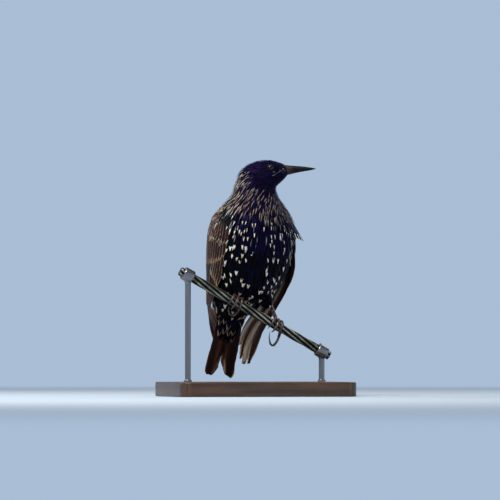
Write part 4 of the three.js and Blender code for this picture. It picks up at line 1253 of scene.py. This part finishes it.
class Covey:
    """Feathers gathered side by side for one piece, with the marks and tone of each."""

    def __init__(self, grid):
        self.grid, self.feathers = grid, []

    def add(self, points, marks, tone):
        self.feathers.append((points, marks, tone))

    def piece(self, name, finish, slot, *nodes, lining=None):
        count = len(self.feathers)
        points, marks, tone = (np.array(each) for each in zip(*self.feathers))
        in_row = np.stack([(np.arange(count) + 0.5) / count, np.full(count, 0.5)], axis=1)
        vanes(name, self.grid, points, marks, tone, in_row, finish, slot, *nodes, lining=lining)


def arm_height(along, across):
    """How high the arm's outer side stands above the wing's surface."""
    (middle, inner, up), (long, wide, thick) = ARM["centre"], ARM["radii"]
    bulge = np.clip(1 - ((along - middle) / long) ** 2 - ((across - inner) / wide) ** 2, 0, 1)
    return up + ARM_RIM + (thick - ARM_RIM) * np.sqrt(bulge)


# The undersides of the primaries are dull red-brown. On these few of the left wing they are painted pale grey
# instead, as painted light reflecting from their undersides.
DULL_LINING, PAINTED_LIGHT_LINING = (0.7, 1, 0.7), (0.7, 1, 0.05)
PRIMARIES_WITH_PAINTED_LIGHT = {"right": (), "left": (1, 2, 3, 5, 6, 7)}
LESSER = {"from": 19, "to": 43, "front": -3, "inner": 58, "step": 2.4}
# Each row: where roots and tips lie along the wing, how deep the roots are sunk, and its share of the width.
SCAPULARS = ((37, 23, 7, 0.78), (32, 15, 4, 0.86), (26, 6, 1.5, 0.94), (20, -3, 0.5, 1), (13, -12, 0, 1))
for name, wing in WINGS.items():
    draw = np.random.default_rng(wing["seed"])
    arm = ball(1, 64, 40, Matrix())
    for vertex in arm.verts:
        x, y, z = vertex.co
        spot = np.array(ARM["centre"]) + np.array(ARM["radii"]) * (y, x, z)
        vertex.co = wing_point(wing, *spot)
    piece(f"wing_{name}_arm", faced_out(arm), flight, "flight_feathers")

    for tier_name, (n, half, roots, tips, root_fronts, tip_fronts, heights) in TIERS.items():
        is_primary = tier_name == "primaries"
        spacing = (root_fronts[1] - root_fronts[0]) / (n - 1)
        row = Covey(wing_grid)
        for i in range(n):
            share = i / (n - 1)
            fanned = 0
            if is_primary:
                share = lerp((share, SLIPPED[i]), wing["slipped"])
                fanned = wing["fan"] * share
            root = lerp(roots, share)
            tip = lerp(tips, share ** CURVES.get(tier_name, 1)) + draw.uniform(-0.8, 0.8)
            start, end = lerp(root_fronts, share), lerp(tip_fronts, share) + fanned

            def place(t, across, height):
                up = lerp(heights, np.sqrt(np.clip(t, 0, 1)))
                along = root + (tip - root) * t
                from_front = start + (end - start) * t + across
                if tier_name in ON_ARM:
                    up = np.maximum(up, arm_height(along, from_front) + ON_ARM[tier_name] * t)
                return wing_point(wing, along, from_front, up + height)

            wide = half * draw.uniform(0.95, 1.06)
            outline = OUTLINES.get(tier_name, rounded)
            points = stiff_vane(wing_grid, place, wide, outline, LAYER / spacing, draw, SHAFT_OFF)
            edging, warmth, shade = (draw.uniform(*limits) for limits in ((0.4, 0.95), (0.6, 1), (0.7, 1)))
            row.add(points, (0, 0, edging), (warmth, 1, shade))
        nodes = ("wing_" + name,) if is_primary else ()
        pale = PRIMARIES_WITH_PAINTED_LIGHT[name] if is_primary else ()
        lining = np.array([PAINTED_LIGHT_LINING if i in pale else DULL_LINING for i in range(n)])
        row.piece(f"wing_{name}_{tier_name}", flight, "flight_feathers", *nodes, lining=lining)

    lesser = Covey(covert_grid)
    for k, root in enumerate(np.arange(LESSER["from"], LESSER["to"], LESSER["step"])):
        first = LESSER["front"] + LESSER["step"] / 2 * (k % 2)
        last = LESSER["inner"] - 18 * smooth_between(root, 25, 43)
        for across_root in np.arange(first, last, LESSER["step"]):
            start = across_root + draw.uniform(-0.6, 0.6)
            high = root + draw.uniform(-0.7, 0.7)
            length = draw.uniform(9, 12)
            lift = draw.uniform(0.3, 0.9)
            sunk = 0.7 + 3 * smooth_between(root, 34, 43)

            def place(t, across, height):
                up = arm_height(high - length * t, start) - sunk * (1 - t) + lift * t
                return wing_point(wing, high - length * t, start + across, up + height)

            points = soft_vane(place, draw.uniform(1.5, 1.9), tapered, draw)
            marks = (0, 0.6 * (draw.random() < 0.15), draw.uniform(0, 0.7))
            hue = 1 - 0.4 * smooth_between(start, 24, 44)
            lesser.add(points, marks, (draw.uniform(0.2, 1), hue, draw.uniform(0.55, 1)))
    lesser.piece(f"wing_{name}_lesser_coverts", flight, "flight_feathers")

    scapulars = Covey(covert_grid)
    for k, (root, tip, sunk, narrow) in enumerate(SCAPULARS):
        for i in range(5):
            start = (42 + 3.9 * i + draw.uniform(-0.6, 0.6) + 1.9 * (k % 2)) * narrow
            end = tip - 1.6 * i + draw.uniform(-2.5, 2.5)
            lift = draw.uniform(1.8, 2.6)

            def place(t, across, height):
                up = lift * np.sqrt(t) - sunk * np.clip(1 - t, 0, 1) ** 1.5
                return wing_point(wing, root + (end - root) * t, start - 2 * t + across, up + height)

            points = soft_vane(place, draw.uniform(3.3, 4), rounded, draw, 0.07, 0.12, 0.16)
            edging, warmth, hue = (draw.uniform(*limits) for limits in ((0.45, 0.7), (0.6, 0.9), (0.5, 0.8)))
            scapulars.add(points, (0, 0, edging), (warmth, hue, 0.6))
    scapulars.piece(f"wing_{name}_scapulars", plumage, "plumage")

# The tail: twelve stiff feathers in two stacks that part at the tip. Soft coverts lie over and under its
# root, and grow from the skin of the rump and the vent.
RECTRIX = {"half": 5.3, "root": -2, "outer": 62, "offset": 5.8, "step": 0.56, "layer": 0.42, "arch": 0.008}
# How far the tips of each stack slant and how much shorter each next one is, for the right and left stack.
SLANT = {-1: -0.1, 1: 0.55}
SHORTER = {-1: 0.5, 1: 1.3}
# Each row: how many feathers, their spread and tip, how far back root and tip lie, half width, and root.
TAIL_COVERTS = {
    "undertail": [
        (7, 11.5, -12, (-6.6, -6.8), 4, 8),
        (6, 10.5, -21, (-5.9, -6), 4, 3),
        (5, 8.5, -30, (-5, -4.6), 4.1, -4),
        (4, 5.5, -36, (-4.2, -3), 4.1, -10),
    ],
    "uppertail": [(5, 9.5, -22, (5, 3.2), 4, 2), (6, 10, -13, (6, 4.6), 4, 6)],
}
draw = np.random.default_rng(300)
rectrices = Covey(wing_grid)
for side in (-1, 1):
    for k in range(6):
        length = RECTRIX["outer"] - SHORTER[side] * (5 - k)
        offset = RECTRIX["offset"] + RECTRIX["step"] * k
        layer = RECTRIX["layer"] * (2.5 - k)

        def place(t, across, height):
            x = side * lerp((2.2 + 0.6 * k, offset), np.clip(t, 0, 1) ** 0.7) + across
            reach = t * (length + SLANT[side] * side * across * smooth_between(t, 0.5, 1))
            back = layer + height - RECTRIX["arch"] * x * x
            return out_of(TAIL, np.stack([x, back, RECTRIX["root"] - reach], axis=-1))

        points = stiff_vane(wing_grid, place, RECTRIX["half"], SQUARE, 0, draw, 0.25 * side)
        rectrices.add(points, (0, 0, draw.uniform(0.1, 0.3)), (0.9, 1, draw.uniform(0.72, 0.88)))
rectrices.piece("tail_feathers", flight, "flight_feathers", "tail")

for name, levels in TAIL_COVERTS.items():
    coverts = Covey(covert_grid)
    for n, spread, tip, back, half, root in levels:
        upright = math.copysign(1, back[0])
        for i in range(n):
            share = i / (n - 1) - 0.5
            end = tip + 10 * share * share + draw.uniform(-3, 3)

            def place(t, across, height):
                out = lerp(back, t) * (1 - 0.35 * abs(share))
                x = 2 * share * spread * (0.6 + 0.4 * t) + across
                return out_of(TAIL, np.stack([x, out + upright * height, root + (end - root) * t], axis=-1))

            points = soft_vane(place, half, tapered, draw)
            edging = draw.uniform(0.5, 0.65) * (draw.random() < 0.7)
            coverts.add(points, (0, 0, edging), (0.75, draw.uniform(0.2, 0.5), draw.uniform(0.8, 1)))
    coverts.piece(name + "_coverts", plumage, "plumage")

# The breast tuft: a few long feathers at the left side of the breast, rooted in the skin and ruffled out
# over the bend of the wing.
TUFT = {"feathers": 10, "half": 4.1, "root": 35, "length": 23.5, "step": 0.3, "angle": -17, "spread": 2.2}
TUFT_OUT = {"side": 34.2, "front": 32.1, "sunk": 7, "stand": 8.6}
tuft = Covey(covert_grid)
for i in range(TUFT["feathers"]):
    angle = math.radians(TUFT["angle"] - TUFT["spread"] * i)
    stand = TUFT_OUT["stand"] * (1 - 0.09 * i)

    def place(t, across, height):
        along = TUFT["root"] - TUFT["step"] * i - t * TUFT["length"] * (1 - 0.04 * i)
        lift = stand * np.abs(t) ** 1.7 - TUFT_OUT["sunk"] * np.clip(1 - t, 0, 1) ** 1.6 + height
        turn = angle + across / TUFT_OUT["side"]
        out = [(TUFT_OUT["side"] + lift) * np.cos(turn), (TUFT_OUT["front"] + lift) * np.sin(turn), along]
        return out_of(BODY, np.stack(out, axis=-1))

    points = soft_vane(place, TUFT["half"], tapered, draw, 0.05)
    tuft.add(points, (0.5 * (i % 3 == 1), 0, 0), (0.2, 0.3, 0.85))
tuft.piece("breast_tuft", plumage, "plumage")
